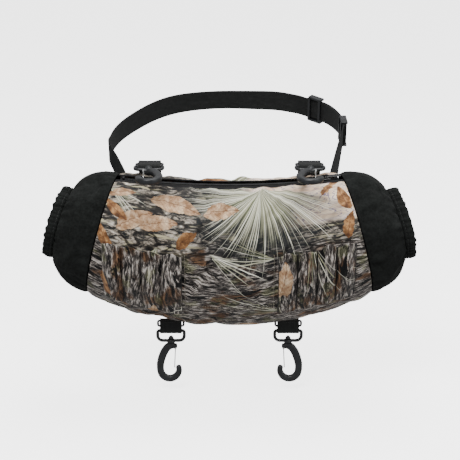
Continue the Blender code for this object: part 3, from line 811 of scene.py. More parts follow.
def steel_material(name, color):
    """Bright spring steel, drawn and lightly scratched."""
    made, s = new_material(name)
    at = s.coordinates("OBJECT")
    drawn = s.noise(at, (3000, 3000, 160), 3.0, 0.6)
    spots = s.noise(at, (500, 500, 500), 4.0, 0.6)
    dull = tuple(c * 0.7 for c in color[:3]) + (1.0,)
    s.set("Base Color", s.colors(spots, ((0.3, dull), (0.6, color))))
    s.set("Roughness", s.mul_add(drawn, 0.25, 0.14))
    s.set("Normal", s.bump(drawn, 0.00003, 0.4))
    s.set("Metallic", 1.0)
    return made


def fibre_material(name, dark, light):
    """Loose polyester batting."""
    made, s = new_material(name)
    at = s.coordinates("OBJECT")
    loft = s.noise(at, (160, 160, 160), 5.0, 0.7, 1.5)
    hairs = s.noise(at, (700, 2400, 2400), 4.0, 0.7, 2.0)
    amount = s.mul_add(loft, 0.6, s.mul(hairs, 0.4))
    s.set("Base Color", s.colors(amount, ((0.3, dark), (0.7, light))))
    s.set("Normal", s.bump(amount, 0.0015, 0.8))
    s.set("Roughness", s.step(hairs, -2.0, 1.1))
    return made


def thread_material(name, dark, light):
    """Twisted sewing thread."""
    made, s = new_material(name)
    at = s.coordinates("OBJECT")
    twist = s.noise(at, (2600, 2600, 2600), 2.0, 0.5)
    s.set("Base Color", s.colors(twist, ((0.35, dark), (0.65, light))))
    s.set("Normal", s.bump(twist, 0.00008, 0.6))
    s.set("Roughness", s.step(twist, -0.8, 1.4))
    return made


PRINT = print_material()
FLEECE = fleece_material("black_fleece", srgb(12, 13, 12), srgb(34, 36, 35))
LINING = fleece_material("lining_fleece", srgb(12, 12, 13), srgb(36, 36, 37), 0.0009)
STRAP = webbing_material("black_webbing", srgb(15, 16, 16), srgb(44, 45, 45))
TAPE = webbing_material("zip_tape", srgb(9, 9, 10), srgb(30, 30, 31), 0.0007)
POUCH = webbing_material("pouch_cloth", srgb(20, 20, 22), srgb(50, 50, 52), 0.0006)
ELASTIC = webbing_material("cuff_elastic", srgb(30, 30, 30), srgb(70, 70, 70), 0.0009)
PLASTIC = plastic_material("black_acetal", srgb(13, 14, 16), srgb(30, 32, 35))
COIL = plastic_material("zip_coil_nylon", srgb(12, 12, 13), srgb(28, 28, 30), 0.35, 0.5)
STEEL = steel_material("spring_steel", srgb(214, 214, 212))
BATTING = fibre_material("batting_fibre", srgb(190, 190, 186), srgb(238, 238, 234))
SLIDER = plastic_material("slider_enamel", srgb(18, 18, 19), srgb(34, 34, 36), 0.2, 0.34)
TAPE_PLAIN = thread_material("coil_cord_yarn", srgb(14, 14, 15), srgb(40, 40, 41))
THREAD = thread_material("dark_thread", srgb(22, 20, 18), srgb(66, 60, 54))
PALE_THREAD = thread_material("pale_thread", srgb(74, 70, 62), srgb(148, 140, 126))
BLACK_THREAD = thread_material("black_thread", srgb(12, 12, 12), srgb(44, 44, 44))


# ---- the padded body -----------------------------------------------------------------
def stitches(name, paths, spacing=0.0030, radius=0.00028, material=None, normals=None):
    """Rows of separate thread stitches along paths that lie on the cloth."""
    bm = bmesh.new()
    for index, path in enumerate(paths):
        path = np.asarray(path, float)
        steps = np.linalg.norm(np.diff(path, axis=0), axis=1)
        length = np.concatenate([[0], np.cumsum(steps)])
        count = max(int(length[-1] / spacing), 2)
        for k in range(count):
            ends = [(k + 0.14) * length[-1] / count, (k + 0.86) * length[-1] / count]
            a, b = (
                Vector([float(np.interp(e, length, path[:, axis])) for axis in range(3)])
                for e in ends
            )
            direction = b - a
            if direction.length < 1e-6:
                continue
            up = Vector(normals[index]) if normals is not None else Vector((0, -1, 0))
            turn = direction.to_track_quat("Z", "Y").to_matrix().to_4x4()
            made = bmesh.ops.create_cone(
                bm,
                cap_ends=True,
                segments=5,
                radius1=radius,
                radius2=radius,
                depth=direction.length,
                matrix=Matrix.Translation((a + b) / 2 + up * radius * 0.3) @ turn,
            )
            bmesh.ops.smooth_vert(bm, verts=made["verts"], factor=0.02)
    mesh = bpy.data.meshes.new(name)
    bm.to_mesh(mesh)
    bm.free()
    mesh.shade_smooth()
    return add_object(name, mesh, material or THREAD)


def shell(name, node, start, end, rows, seed):
    """One printed shell from seam to seam: pulled in at its seams and lightly creased."""
    reach = 1 - 0.004
    q = np.linspace(-reach, reach, 150)[:, None]
    angle = np.linspace(start, end, rows)[None, :]
    t = (angle - start) / (end - start)
    ends = ease((1 - np.abs(q)) / 0.10)
    edges = ease(t / 0.05) * ease((1 - t) / 0.06)
    pull = np.exp(-((1 - np.abs(q)) / 0.13) ** 2)
    tucks = 0.0011 * pull * waves(angle * 13 + q * 3, seed, 5, 0.7, 1.7) * ends
    near_edge = np.exp(-(np.minimum(t, 1 - t) / 0.10) ** 2) * ease(np.minimum(t, 1 - t) / 0.03)
    ruck = 0.0008 * near_edge * waves(q * 26 + angle * 2, seed + 1, 5, 0.7, 1.9)
    soft = 0.0014 * waves(q * 7 + angle * 3.1, seed + 2) * waves(angle * 5 - q * 4, seed + 3)
    drag = 0.0007 * waves(q * 16 - angle * 9, seed + 4) * ease((1 - np.abs(q)) / 0.3)
    out = 0.0016 * ends * edges + (tucks + ruck + soft + drag) * ends * edges
    points = surface(q, angle, out)
    flat_back = points[..., 1] > -0.0005
    points[..., 1] = np.where(flat_back, np.minimum(points[..., 1], 0.0), points[..., 1])
    uvs = pair(surface(q, angle, 0.0)[..., 0], arc(angle))
    piece = sheet_object(name, points, uvs, PRINT)
    rows_all, columns = points.shape[:2]
    pinned = np.zeros((rows_all, columns), bool)
    pinned[:2] = pinned[-2:] = True
    pinned[:, :2] = pinned[:, -2:] = True
    if node == "front_shell":
        behind = (angle > LOOP_ANGLES[0] - 0.1) & (angle < POCKET_ANGLES[1] + 0.02)
        pinned |= behind & (np.abs(q) < 0.98)
    pinned |= flat_back
    inflate(piece, pinned.ravel(), 3.0, 0.020, 0.0045, 0.0020)
    piece.data.materials.append(TAPE)
    edge_faces = 3 if node == "front_shell" else 1
    for face in piece.data.polygons:
        row = face.index % (rows - 1)
        near_zip = row >= rows - 1 - edge_faces if node == "front_shell" else row < edge_faces
        if near_zip:
            face.material_index = 1
    thicken(piece, SHELL, -1, 1)
    stands_for(piece, node)
    return piece


def end_panel(side_name, side, seed):
    """A fleece sleeve: smooth over the padding, gathered where the cuff draws it in."""
    q = np.linspace(1.004, 2.0, 54)[:, None]
    columns = 168
    angle = np.linspace(-math.pi, math.pi, columns, endpoint=False)[None, :]
    t = (q - 1.004) / 0.996
    gather = 0.0019 * ease((t - 0.45) / 0.5) * ring_waves(angle, seed, 15, 30)
    folds = 0.0022 * ease((t - 0.12) / 0.5) * (1 - 0.4 * t)
    folds = folds * ring_waves(angle + 0.2 * t, seed + 1, 4, 9)
    tuck = 0.0007 * np.exp(-(t / 0.12) ** 2) * ease(t / 0.04) * ring_waves(angle, seed + 2, 22, 40)
    rounded = 0.0002 * np.sin(math.pi * np.clip(t, 0, 1)) ** 0.7
    out = (gather + folds + tuck + rounded) * ease(t / 0.05) * ease((1 - t) / 0.03)
    points = surface(side * q, angle, out)
    points[..., 1] = np.minimum(points[..., 1], 0.0)
    uvs = pair(points[..., 0], arc(angle))
    name = side_name + "_fleece_sleeve"
    piece = sheet_object(name, points, uvs, FLEECE, loop_columns=True, flip=side < 0)
    pinned = np.zeros(points.shape[:2], bool)
    pinned[:2] = pinned[-2:] = True
    pinned |= points[..., 1] > -0.0004
    inflate(piece, pinned.ravel(), 2.0, 0.025, 0.0018, 0.0030)
    thicken(piece, 0.0018, -1, 1)
    stands_for(piece, side_name + "_end_panel")
    return piece


def cuff(side_name, side, seed):
    """The gathered cuff: a tunnel of fleece over its elastic, ruffled round the rim."""
    profile = smooth_line(
        (
            (0.05, -0.0084, 0),
            (0.05, -0.0030, 0),
            (0.07, -0.0002, 0),
            (0.24, 0.0011, 0),
            (0.55, 0.0012, 0),
            (0.84, 0.0008, 0),
            (0.99, -0.0008, 0),
            (1.02, -0.0040, 0),
            (0.97, -0.0084, 0),
        ),
        4,
    )
    columns = 260
    angle = np.linspace(-math.pi, math.pi, columns, endpoint=False)[None, :]
    along = profile[:, 0][:, None]
    base = profile[:, 1][:, None]
    outer = ease((base + 0.0080) / 0.0080)
    sharp = ring_waves(angle, seed, 30, 62)
    gather = 0.00065 * (np.abs(sharp) ** 0.9) * np.sign(sharp) * outer
    slow = 0.0012 * ring_waves(angle, seed + 1, 5, 11) * outer
    stitch = -0.0012 * np.exp(-(((along - 0.30) / 0.05) ** 2)) * outer
    ruffle = 0.08 * ring_waves(angle + 0.4, seed + 2, 14, 32) * ease((along - 0.5) / 0.5)
    points = surface(side * (2 + along + ruffle * outer), angle, base + gather + slow + stitch)
    points[..., 1] = np.minimum(points[..., 1], 0.0)
    uvs = pair(points[..., 0], arc(angle))
    name = side_name + "_gathered_cuff"
    piece = sheet_object(name, points, uvs, FLEECE, loop_columns=True, flip=side < 0)
    thicken(piece, 0.0016, -1)
    stands_for(piece, side_name + "_cuff")

    ring = np.linspace(-math.pi, math.pi, 220)
    lift = 0.0002 + 0.0012 * ring_waves(ring, seed + 1, 5, 11)
    path = surface(side * 2.30, ring, lift)
    outward = surface(side * 2.30, ring, lift + 0.01) - path
    path[:, 1] = np.minimum(path[:, 1], 0.0)
    thread = stitches(
        side_name + "_cuff_stitches", [path[:-1]], 0.0034, 0.0003, BLACK_THREAD, [outward[0]]
    )
    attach(thread, "root")

    across = np.linspace(2.30, 2.76, 7)[:, None]
    wave = 0.0004 * ring_waves(angle, seed, 26, 44)
    band_points = surface(side * across, angle, -0.0036 + wave)
    band_uvs = pair(arc(angle), (across - 2.3) * CUFF_LENGTH)
    name = side_name + "_elastic_band"
    band = sheet_object(name, band_points, band_uvs, ELASTIC, loop_columns=True, flip=side < 0)
    thicken(band, 0.0013, -1)
    stands_for(band, side_name + "_cuff_elastic")
    return piece


def tunnel(name, node, slot, material, reach, out, thickness, lumps, rows, fill):
    """A closed tube inside the muff, soft and slightly lumpy."""
    columns = 110
    q = np.linspace(-reach, reach, rows)[:, None]
    angle = np.linspace(-math.pi, math.pi, columns, endpoint=False)[None, :]
    bumps = lumps * ring_waves(angle + 0.3 * np.sin(q * 5), 71, 3, 9)
    bumps = bumps + 0.6 * lumps * waves(q * 9 + 0 * angle, 72) * ring_waves(angle, 73, 2, 6)
    points = surface(q, angle, out(np.abs(q)) + bumps)
    uvs = pair(points[..., 0], arc(angle))
    piece = sheet_object(name, points, uvs, material, loop_columns=True)
    thicken(piece, thickness, -1)
    stands_for(piece, node)


def hem():
    """The folded strip over the bottom seam, with a row of stitches down each side."""
    half = math.radians(3.1)
    q = np.linspace(-0.94, 0.94, 220)[:, None]
    v = np.linspace(0, 1, 13)[None, :]
    crown = 0.0009 * np.sin(math.pi * v) ** 0.6
    pucker = 0.00035 * waves(q * 90 + v * 2, 5, 5, 0.6, 1.6) * np.sin(math.pi * v)
    points = surface(q, HEM_ANGLE + mix(-half, half, v), 0.0017 + crown + pucker)
    uvs = pair(surface(q, HEM_ANGLE)[..., 0] + 0.03, v * 0.010 - 0.094)
    piece = sheet_object("bottom_hem_strip", points, uvs, PRINT)
    thicken(piece, 0.0009, -1)
    stands_for(piece, "hem_binding")
    lines = []
    line = np.linspace(-0.935, 0.935, 200)
    for turn in (-0.78, 0.78):
        lines.append(surface(line, HEM_ANGLE + half * turn, 0.0026))
    thread = stitches("hem_stitches", lines, 0.0032, 0.00026, THREAD, [(0, -0.2, -1)] * 2)
    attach(thread, "root")


# ---- pocket and loops ----------------------------------------------------------------
BASE = 0.0004 + SHELL


def raised(name, node, x, angles, lift, uv_shift, upright=False):
    """A sewn-on panel over the front shell; an upright one has the print turned a quarter."""
    q = q_at(x, angles)
    points = surface(q, angles, BASE + lift)
    along = (arc(angles), x) if upright else (x, arc(angles))
    uvs = pair(along[0] + uv_shift[0], along[1] + uv_shift[1])
    piece = sheet_object(name, points, uvs, PRINT)
    thicken(piece, SHELL, -1, 1)
    stands_for(piece, node)
    return piece


def painted_seam_shade_faces(piece, rows, columns, parts):
    """Painted shade: the faces along the seams that divide a band into equal parts get the black
    thread material, as the shadow in the grooves.
    """
    piece.data.materials.append(BLACK_THREAD)
    step = (rows - 1) // parts
    for face in piece.data.polygons:
        row = (face.index // (columns - 1)) % (rows - 1)
        if min(row % step, step - 1 - row % step) < 1:
            face.material_index = 1


def pocket():
    """The centre patch pocket: open top with a hem, a diagonal drag fold, a sewn bottom."""
    half = POCKET_HALF_WIDTH
    u = np.linspace(0, 1, 110)[:, None]
    v = np.linspace(0, 1, 64)[None, :]
    top = 0.010 * np.sin(math.pi * u) ** 1.2
    angle = mix(POCKET_ANGLES[0], POCKET_ANGLES[1] - 0.7 * top * 4, v)
    x = mix(-half, half, u) + 0 * v
    body = 0.0088 * np.sin(math.pi * u) ** 0.55 * ease(v / 0.75)
    across = u * 0.86 - (v - 0.37) * 0.51
    fold = -0.0058 * np.exp(-((across / 0.042) ** 2)) * ease(v / 0.25) * ease((1.0 - v) / 0.16)
    second = 0.0020 * np.exp(-(((across - 0.11) / 0.06) ** 2)) * ease(v / 0.3)
    right = -0.0020 * np.exp(-((((1 - u) - 0.13 - v * 0.10) / 0.05) ** 2)) * ease(v / 0.3)
    crumple = 0.0010 * waves(u * 19 + v * 9, 14) * waves(v * 13 - u * 6, 15)
    bottom = 0.0007 * np.exp(-((v - 0.10) / 0.10) ** 2) * waves(u * 42, 16, 5, 0.6, 1.6)
    sides = np.sin(math.pi * u) ** 0.3
    lift = body + (fold + second + right + crumple) * sides + bottom * ease(v / 0.05)
    lift = np.maximum(lift, 0.0002)
    piece = raised("centre_patch_pocket", "centre_pocket", x, angle, lift, (0.0, 0.0))

    rows = []
    for at in (0.035, 0.085):
        k = int(at * 63)
        px = x[:, k]
        rows.append(at_x(px, angle[:, k], BASE + lift[:, k] + 0.0001))
    k = int(0.88 * 63)
    rows.append(at_x(x[:, k], angle[:, k], BASE + lift[:, k] + 0.0001))
    for column in (2, 107):
        side_x = x[column]
        rows.append(at_x(side_x, angle[column], BASE + lift[column] + 0.0002))
    thread = stitches("pocket_stitches", rows, 0.0028, 0.00032, PALE_THREAD)
    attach(thread, "root")


def loops(side_name, side, seed):
    """Four shell loops: fabric sewn down between them, tops drawn in by their elastic."""
    u = np.linspace(0, 1, 4 * 34 + 1)[:, None]
    v = np.linspace(0, 1, 58)[None, :]
    start = LOOP_START_X
    end = LOOP_START_X + LOOPS * LOOP_PITCH
    cell = np.abs(np.sin(math.pi * LOOPS * u))
    number = np.floor(np.clip(u * LOOPS, 0, LOOPS - 0.001))
    rng = np.random.default_rng(seed)
    sway = rng.uniform(-1, 1, (LOOPS + 1, 4))
    own = sway[number.astype(int)]
    rim = 0.036 * cell**1.4 + 0.020 * (own[..., 0]) * cell
    angle = mix(LOOP_ANGLES[0], LOOP_ANGLES[1] + (rim - 0.012) * 1.6, v)
    x = side * (mix(start, end, u) + 0.0012 * own[..., 1] * cell * v) + 0 * v
    shape = cell ** 0.50
    tall = mix(0.0036, 0.0136, ease(v / 0.70)) * (1 + 0.14 * own[..., 2])
    gather = np.exp(-(((v - 0.90) / 0.07) ** 2))
    lift = tall * shape
    pinch = 0.0016 * gather * waves(u * 160 + v * 3, seed + 1, 5, 0.6, 1.5) * shape
    elastic_line = -0.0016 * np.exp(-(((v - 0.88) / 0.028) ** 2)) * shape
    curl = 1 + 0.6 * waves(u * 70, seed + 5, 5, 0.7, 1.6)
    flare = 0.0024 * ease((v - 0.91) / 0.09) * shape * curl
    crease = 0.0013 * waves(u * 44 + v * 7, seed + 2) * waves(v * 15 + u * 9, seed + 3) * shape
    dent = -0.0032 * np.exp(-(((u * LOOPS - number - 0.5 - 0.3 * own[..., 3]) / 0.13) ** 2)) * shape
    dent = dent * ease(v / 0.3) * ease((1.02 - v) / 0.3) * (0.4 + 0.6 * np.abs(own[..., 1]))
    base_row = 0.0006 * np.exp(-((v - 0.08) / 0.08) ** 2) * waves(u * 60, seed + 4, 5, 0.6, 1.6)
    lift = lift + pinch + elastic_line + flare + crease + dent + base_row * shape
    lift = np.maximum(lift, 0.0002)
    name = side_name + "_loop_band"
    shift = (0.034 * side, -0.055 - 0.095 * side)
    piece = raised(name, side_name + "_shell_loops", x, angle, lift, shift, upright=True)
    # painted shade: black faces along the seams between the loops
    painted_seam_shade_faces(piece, u.shape[0], v.shape[1], LOOPS)

    # thick black stitches down each seam: real stitching, and also painted shade for the dark
    # grooves between the loops
    rows = []
    for k in range(LOOPS + 1):
        column = min(k * 34, u.shape[0] - 1)
        column = max(min(column, u.shape[0] - 2), 1)
        rows.append(
            at_x(x[column], angle[column], BASE + lift[column] + 0.0002)
        )
    thread = stitches(side_name + "_loop_stitches_and_painted_shade", rows, 0.0026, 0.00062, BLACK_THREAD)
    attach(thread, "root")


def painted_mouth_shade():
    """Painted shade: black strips on the shell behind the mouths of the pocket and the loops, dark
    where the openings are shaded.
    """
    end = LOOP_START_X + LOOPS * LOOP_PITCH
    for name, x0, x1, top in (
        ("left_loop_mouth_painted_shade", -end, -LOOP_START_X, LOOP_ANGLES[1] + 0.035),
        ("pocket_mouth_painted_shade", -POCKET_HALF_WIDTH, POCKET_HALF_WIDTH, POCKET_ANGLES[1] - 0.015),
        ("right_loop_mouth_painted_shade", LOOP_START_X, end, LOOP_ANGLES[1] + 0.035),
    ):
        x = np.linspace(x0 + 0.001, x1 - 0.001, 80)[:, None]
        angle = np.linspace(math.radians(-30), top + 0.015, 20)[None, :]
        x, angle = np.broadcast_arrays(x, angle)
        points = at_x(x, angle, 0.0004 + 0.0002 * waves(x * 160, 66))
        uvs = pair(x, arc(angle))
        piece = sheet_object(name, points, uvs, POUCH)
        thicken(piece, 0.0003, 1)
        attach(piece, "root")


def warmer_pouch():
    """The thin pouch under the zip, for a heat pack."""
    top = math.radians(70)
    bottom = math.radians(12)
    u = np.linspace(0, 1, 90)[:, None]
    v = np.linspace(0, 1, 60)[None, :]
    down = mix(top, bottom, np.clip(v / 0.46, 0, 1))
    up = mix(bottom, top, np.clip((v - 0.54) / 0.46, 0, 1))
    angle = np.where(v < 0.5, down, up)
    out = mix(-0.0034, -0.0072, ease((v - 0.44) / 0.12)) + 0 * u
    angle = angle - 0.02 * np.exp(-(((v - 0.5) / 0.05) ** 2))
    q = mix(-0.74, 0.74, u) + 0 * v
    wrinkle = 0.0003 * waves(u * 25, 51) * waves(v * 16 + u * 4, 52)
    points = surface(q, angle, out + wrinkle)
    uvs = pair(points[..., 0], v * 0.2)
    piece = sheet_object("warmer_pouch", points, uvs, POUCH, flip=True)
    thicken(piece, 0.0007, -1)
    stands_for(piece, "warmer_pocket")


def lining_out(q):
    """How far the lining stands out from the shell: it meets the fabric in the sleeves."""
    return mix(-0.0168, -0.006, ease((q - 1) / 0.6))


def soft_body():
    """All fabric of the tube: shells, sleeves, cuffs, loops, pocket and the layers inside."""
    shell("front_print_shell", "front_shell", HEM_ANGLE + 0.006, ZIP_ANGLE - ZIP_SLOT, 92, 201)
    shell(
        "back_print_shell",
        "back_shell",
        ZIP_ANGLE + ZIP_SLOT,
        HEM_ANGLE + 2 * math.pi - 0.006,
        100,
        301,
    )
    layer = ("batting_layer", "insulation_batting", "batting", BATTING)
    tunnel(*layer, 0.985, lambda q: -0.0087 + 0 * q, 0.0066, 0.0001, 90, 0.8)
    layer = ("lining_tube", "fleece_lining", "lining", LINING)
    tunnel(*layer, 1.6, lining_out, 0.0014, 0.0002, 120, 0.3)
    for side_name, side, seed in (("left", -1, 410), ("right", 1, 520)):
        end_panel(side_name, side, seed)
        cuff(side_name, side, seed + 20)
        loops(side_name, side, seed + 40)
    hem()
    # painted shade inside the mouths of the pocket and the loops
    painted_mouth_shade()
    pocket()
    warmer_pouch()


CAMERA_TARGET = Vector((0.0006, -0.05, 0.026))
CAMERA_RISE = math.radians(18)
CAMERA_DISTANCE = 1.5
CAMERA_LENS = 103.07
FLOOR_Z = -0.175
FLOOR_GLOW = 2.8
WORLD_LIGHT = 0.65
LIGHTS = (
    # name, place, size, watts
    ("key", (-0.35, -1.2, 1.7), 0.9, 40),
    ("top", (0.25, 0.25, 1.6), 1.0, 22),
    ("side", (1.3, -0.9, 0.6), 0.8, 6),
)


def look():
    """Camera, floor and soft studio light."""
    camera_data = bpy.data.cameras.new("camera")
    camera_data.sensor_width = 36
    camera_data.lens = CAMERA_LENS
    camera_data.clip_end = 50
    camera = bpy.data.objects.new("camera", camera_data)
    back = Vector((0, -math.cos(CAMERA_RISE), math.sin(CAMERA_RISE)))
    camera.location = CAMERA_TARGET + back * CAMERA_DISTANCE
    camera.rotation_euler = (math.pi / 2 - CAMERA_RISE, 0, 0)
    bpy.context.scene.collection.objects.link(camera)
    bpy.context.scene.camera = camera

    floor_material, s = new_material("pale_floor")
    at = s.coordinates("OBJECT")
    tone = s.noise(at, (3, 3, 3), 3.0)
    pale, paler = (0.90, 0.90, 0.90, 1), (0.93, 0.93, 0.93, 1)
    s.set("Base Color", s.colors(tone, ((0.3, pale), (0.7, paler))))
    s.set("Roughness", s.step(tone, -2.0, 0.8))
    s.set("Emission Color", (1, 1, 1, 1))
    s.set("Emission Strength", FLOOR_GLOW)
    bm = bmesh.new()
    bmesh.ops.create_grid(bm, x_segments=8, y_segments=8, size=14)
    mesh = bpy.data.meshes.new("floor")
    bm.to_mesh(mesh)
    bm.free()
    mesh.materials.append(floor_material)
    floor = bpy.data.objects.new("floor", mesh)
    floor.location = (0, 0, FLOOR_Z)
    floor.visible_diffuse = False
    floor.visible_glossy = False
    bpy.context.scene.collection.objects.link(floor)

    world = bpy.data.worlds.new("studio")
    world.use_nodes = True
    background = world.node_tree.nodes["Background"]
    background.inputs["Color"].default_value = (1, 1, 1, 1)
    background.inputs["Strength"].default_value = WORLD_LIGHT
    bpy.context.scene.world = world
    for name, place, size, watts in LIGHTS:
        light_data = bpy.data.lights.new(name, "AREA")
        light_data.size = size
        light_data.energy = watts
        light = bpy.data.objects.new(name, light_data)
        light.location = place
        light.rotation_euler = (-Vector(place)).to_track_quat("-Z", "Y").to_euler()
        bpy.context.scene.collection.objects.link(light)


# ---- the zip -------------------------------------------------------------------------
def zip_points(x, across, up=0.0):
    """Points of the zip: across is towards the wearer, up off the tape's face."""
    base = surface(0.0, ZIP_ANGLE, -ZIP_DROP)
    x, across, up = np.broadcast_arrays(
        np.asarray(x, float), np.asarray(across, float), np.asarray(up, float)
    )
    fall = ZIP_RADIUS - np.sqrt(ZIP_RADIUS**2 - x * x)
    crown = across * across / (2 * ZIP_CROWN)
    z = base[2] + fall + ZIP_SLOPE * across - crown + up
    return np.stack([x, base[1] + across, z], axis=-1)


def zip_tape(name, node, start, end):
    """Woven tape beside the coil, with a corded edge and a slight ripple."""
    x = np.linspace(-ZIP_HALF_LENGTH, ZIP_HALF_LENGTH, 260)[:, None]
    v = np.linspace(0, 1, 12)[None, :]
    inner = 1 - v if start < 0 else v
    ripple = 0.00022 * waves(x * 210, 61) * np.clip(inner, 0, 1) if start > 0 else 0.0
    cord = 0.0003 * np.exp(-(((inner - 0.06) / 0.06) ** 2))
    points = zip_points(x, mix(start, end, v), cord + ripple)
    uvs = pair(x, mix(start, end, v))
    piece = sheet_object(name, points, uvs, TAPE)
    thicken(piece, 0.0006, -1)
    stands_for(piece, node)


def zip_coil():
    """The closed nylon coil: one wire that loops across the zip once each 1.3 mm."""
    length = 0.114
    pitch = 0.0013
    turns = int(2 * length / pitch)
    per_turn = 8
    t = np.arange(turns * per_turn + 1) / per_turn
    x = -length + t * pitch
    across = 0.0021 * np.sin(2 * math.pi * t)
    up = 0.0010 + 0.00062 * np.cos(2 * math.pi * t)
    points = zip_points(x, across, up)
    piece = curve_tube("zip_coil_wire", points, 0.00036, COIL, sides=6)
    cord_x = np.linspace(-length, length, 120)
    cord = curve_tube("coil_cord", zip_points(cord_x, 0.0, 0.0011), 0.0006, TAPE_PLAIN, sides=8)
    piece = join("zip_coil_and_cord", [piece, cord])
    stands_for(piece, "zip_coil")


# ---- webbing -------------------------------------------------------------------------
def strap(name, points, widths, thickness):
    """Flat webbing along points, with rounded selvedges and closed ends."""
    points = np.asarray(points, float)
    widths = np.asarray(widths, float)
    widths = widths / np.linalg.norm(widths, axis=1)[:, None]
    tangents = np.gradient(points, axis=0)
    tangents /= np.linalg.norm(tangents, axis=1)[:, None]
    normals = np.cross(tangents, widths)
    normals /= np.linalg.norm(normals, axis=1)[:, None]
    steps = np.linalg.norm(np.diff(points, axis=0), axis=1)
    length = np.concatenate([[0], np.cumsum(steps)])
    across = np.array([-0.5, -0.485, -0.45, -0.36, -0.18, 0, 0.18, 0.36, 0.45, 0.485, 0.5])
    half = np.array([0.22, 0.42, 0.50, 0.42, 0.40, 0.40, 0.40, 0.42, 0.50, 0.42, 0.22])
    ring_across = np.concatenate([across, across[::-1]]) * WEBBING
    ring_half = np.concatenate([half, -half[::-1]]) * thickness
    rings = (
        points[:, None, :]
        + widths[:, None, :] * ring_across[None, :, None]
        + normals[:, None, :] * ring_half[None, :, None]
    )
    columns = len(ring_across)
    uvs = pair(length[:, None], ring_across[None, :])
    faces = grid_faces(len(points), columns, False, True)
    faces.append(tuple(reversed(range(columns))))
    faces.append(tuple(range((len(points) - 1) * columns, len(points) * columns)))
    piece = mesh_object(name, rings.reshape(-1, 3), faces, STRAP, uvs.reshape(-1, 2))
    face_outward(piece)
    piece.data.set_sharp_from_angle(angle=math.radians(60))
    return piece


def belt_matrix():
    """The belt's tilted plane."""
    return Matrix.Translation((0, 0, BELT_Z)) @ Matrix.Rotation(BELT_TILT, 4, "X")


def belt_side_centre():
    """The centre of the belt's bend at its right side, in its plane."""
    turn = BELT_REAR_TURN
    x = (BELT_REAR_RADIUS - BELT_SIDE_RADIUS) * math.sin(turn)
    drop = BELT_REAR_RADIUS - (BELT_REAR_RADIUS - BELT_SIDE_RADIUS) * math.cos(turn)
    return Vector((x, BELT_REAR - drop, 0))


def arc_point(centre, radius, angle):
    """A point on a circle in the belt's plane."""
    return centre + Vector((math.cos(angle), math.sin(angle), 0)) * radius


def belt_end(side, start):
    """From the belt's plane to the sewn end: the strap goes into the seam on edge."""
    place = belt_matrix()
    first = place @ start
    up = place.to_3x3() @ Vector((0, 0, 1))
    q = BELT_SEWN_Q[side]
    sewn, outer, flat, turned = (
        Vector(surface(q, BELT_SEWN_ANGLE + turn, out))
        for turn, out in ((0, BELT_SEWN_OUT), (0, 0.01), (0, 0), (-0.05, 0))
    )
    normal = (outer - flat).normalized()
    width = ((turned - flat).normalized() + Vector((-side * BELT_SEWN_TWIST, 0, 0))).normalized()
    above = sewn + normal * 0.010
    lift = first.lerp(above, 0.5) + Vector((0, 0, 0.002))
    points = [lift, above, sewn + normal * 0.004, sewn - normal * 0.0012]
    widths = [up.lerp(width, 0.4).normalized(), up.lerp(width, 0.85).normalized(), width, width]
    return points, widths


def belt_path(side):
    """Control points and width directions of one strap, as in the CAD."""
    place = belt_matrix()
    up = place.to_3x3() @ Vector((0, 0, 1))
    rear_turn = math.pi / 2 - BELT_REAR_TURN
    side_end = rear_turn - BELT_SIDE_TURN
    right = belt_side_centre()
    rear = Vector((0, BELT_REAR - BELT_REAR_RADIUS, 0))
    left = Vector((0, BELT_REAR - BELT_LEFT_RADIUS, 0))
    if side < 0:
        flat = [arc_point(left, BELT_LEFT_RADIUS, a) for a in np.linspace(math.pi, math.pi / 2, 14)]
        angles = np.linspace(math.pi / 2, rear_turn + 0.06, 7)[1:]
        flat += [arc_point(rear, BELT_REAR_RADIUS, a) for a in angles]
        angles = np.linspace(rear_turn, -0.095, 14)
        flat += [arc_point(right, BELT_SIDE_RADIUS + LAYER_STEP, a) for a in angles]
        end_points, end_widths = belt_end(-1, flat[0])
        points = end_points[::-1] + [place @ p for p in flat]
        widths = end_widths[::-1] + [up] * len(flat)
    else:
        angles = np.linspace(ADJUSTER_ANGLES["rear"] + 0.16, side_end, 14)
        flat = [arc_point(right, BELT_SIDE_RADIUS - LAYER_STEP, a) for a in angles]
        end_points, end_widths = belt_end(1, flat[-1])
        points = [place @ p for p in flat] + end_points
        widths = [up] * len(flat) + end_widths
    return np.array([p[:] for p in points]), np.array([w[:] for w in widths])


def belt():
    """The two webbing straps of the waist belt."""
    for side, length in ((-1, "long"), (1, "short")):
        points, widths = belt_path(side)
        points = smooth_line(points, 8)
        widths = smooth_line(widths, 8)
        t = np.linspace(0, 1, len(points))
        free = ease(t / 0.15) * ease((1 - t) / 0.15) if side < 0 else 0 * t
        points[:, 2] += 0.0010 * free * waves(t * 16, 91)
        widths[:, 1] += 0.05 * free * waves(t * 11, 92)
        piece = strap(length + "_waist_strap", points, widths, 0.00115)
        stands_for(piece, f"belt_{length}_strap")


# ---- swivel hooks --------------------------------------------------------------------
LOWER_X = 0.0685
LOWER_PIVOT = (-0.0475, -0.0985)
UPPER_X = 0.0905
UPPER_PIVOT = (-0.0440, 0.0990)
TAB_LENGTH = 0.0142
FRAME_WIDTH = 0.0312
FRAME_HEIGHT = 0.0125
FRAME_WIRE = 0.0019
TAB_GAP = FRAME_WIRE + 0.0003
POST_RADIUS = 0.0016
HOOK_TOP = -FRAME_HEIGHT - 0.0040
HOOK_SCALE = 1.1
HOOK_BAR = 0.0039
HOOK_PATH = (
    (0.0002, -0.0016, 1.05),
    (-0.0044, -0.0046, 1.12),
    (-0.0080, -0.0110, 1.12),
    (-0.0107, -0.0190, 1.10),
    (-0.0119, -0.0270, 1.08),
    (-0.0106, -0.0346, 1.05),
    (-0.0062, -0.0392, 1.02),
    (-0.0004, -0.0402, 1.00),
    (0.0050, -0.0374, 0.98),
    (0.0078, -0.0326, 0.92),
    (0.0080, -0.0284, 0.84),
    (0.0068, -0.0252, 0.76),
)


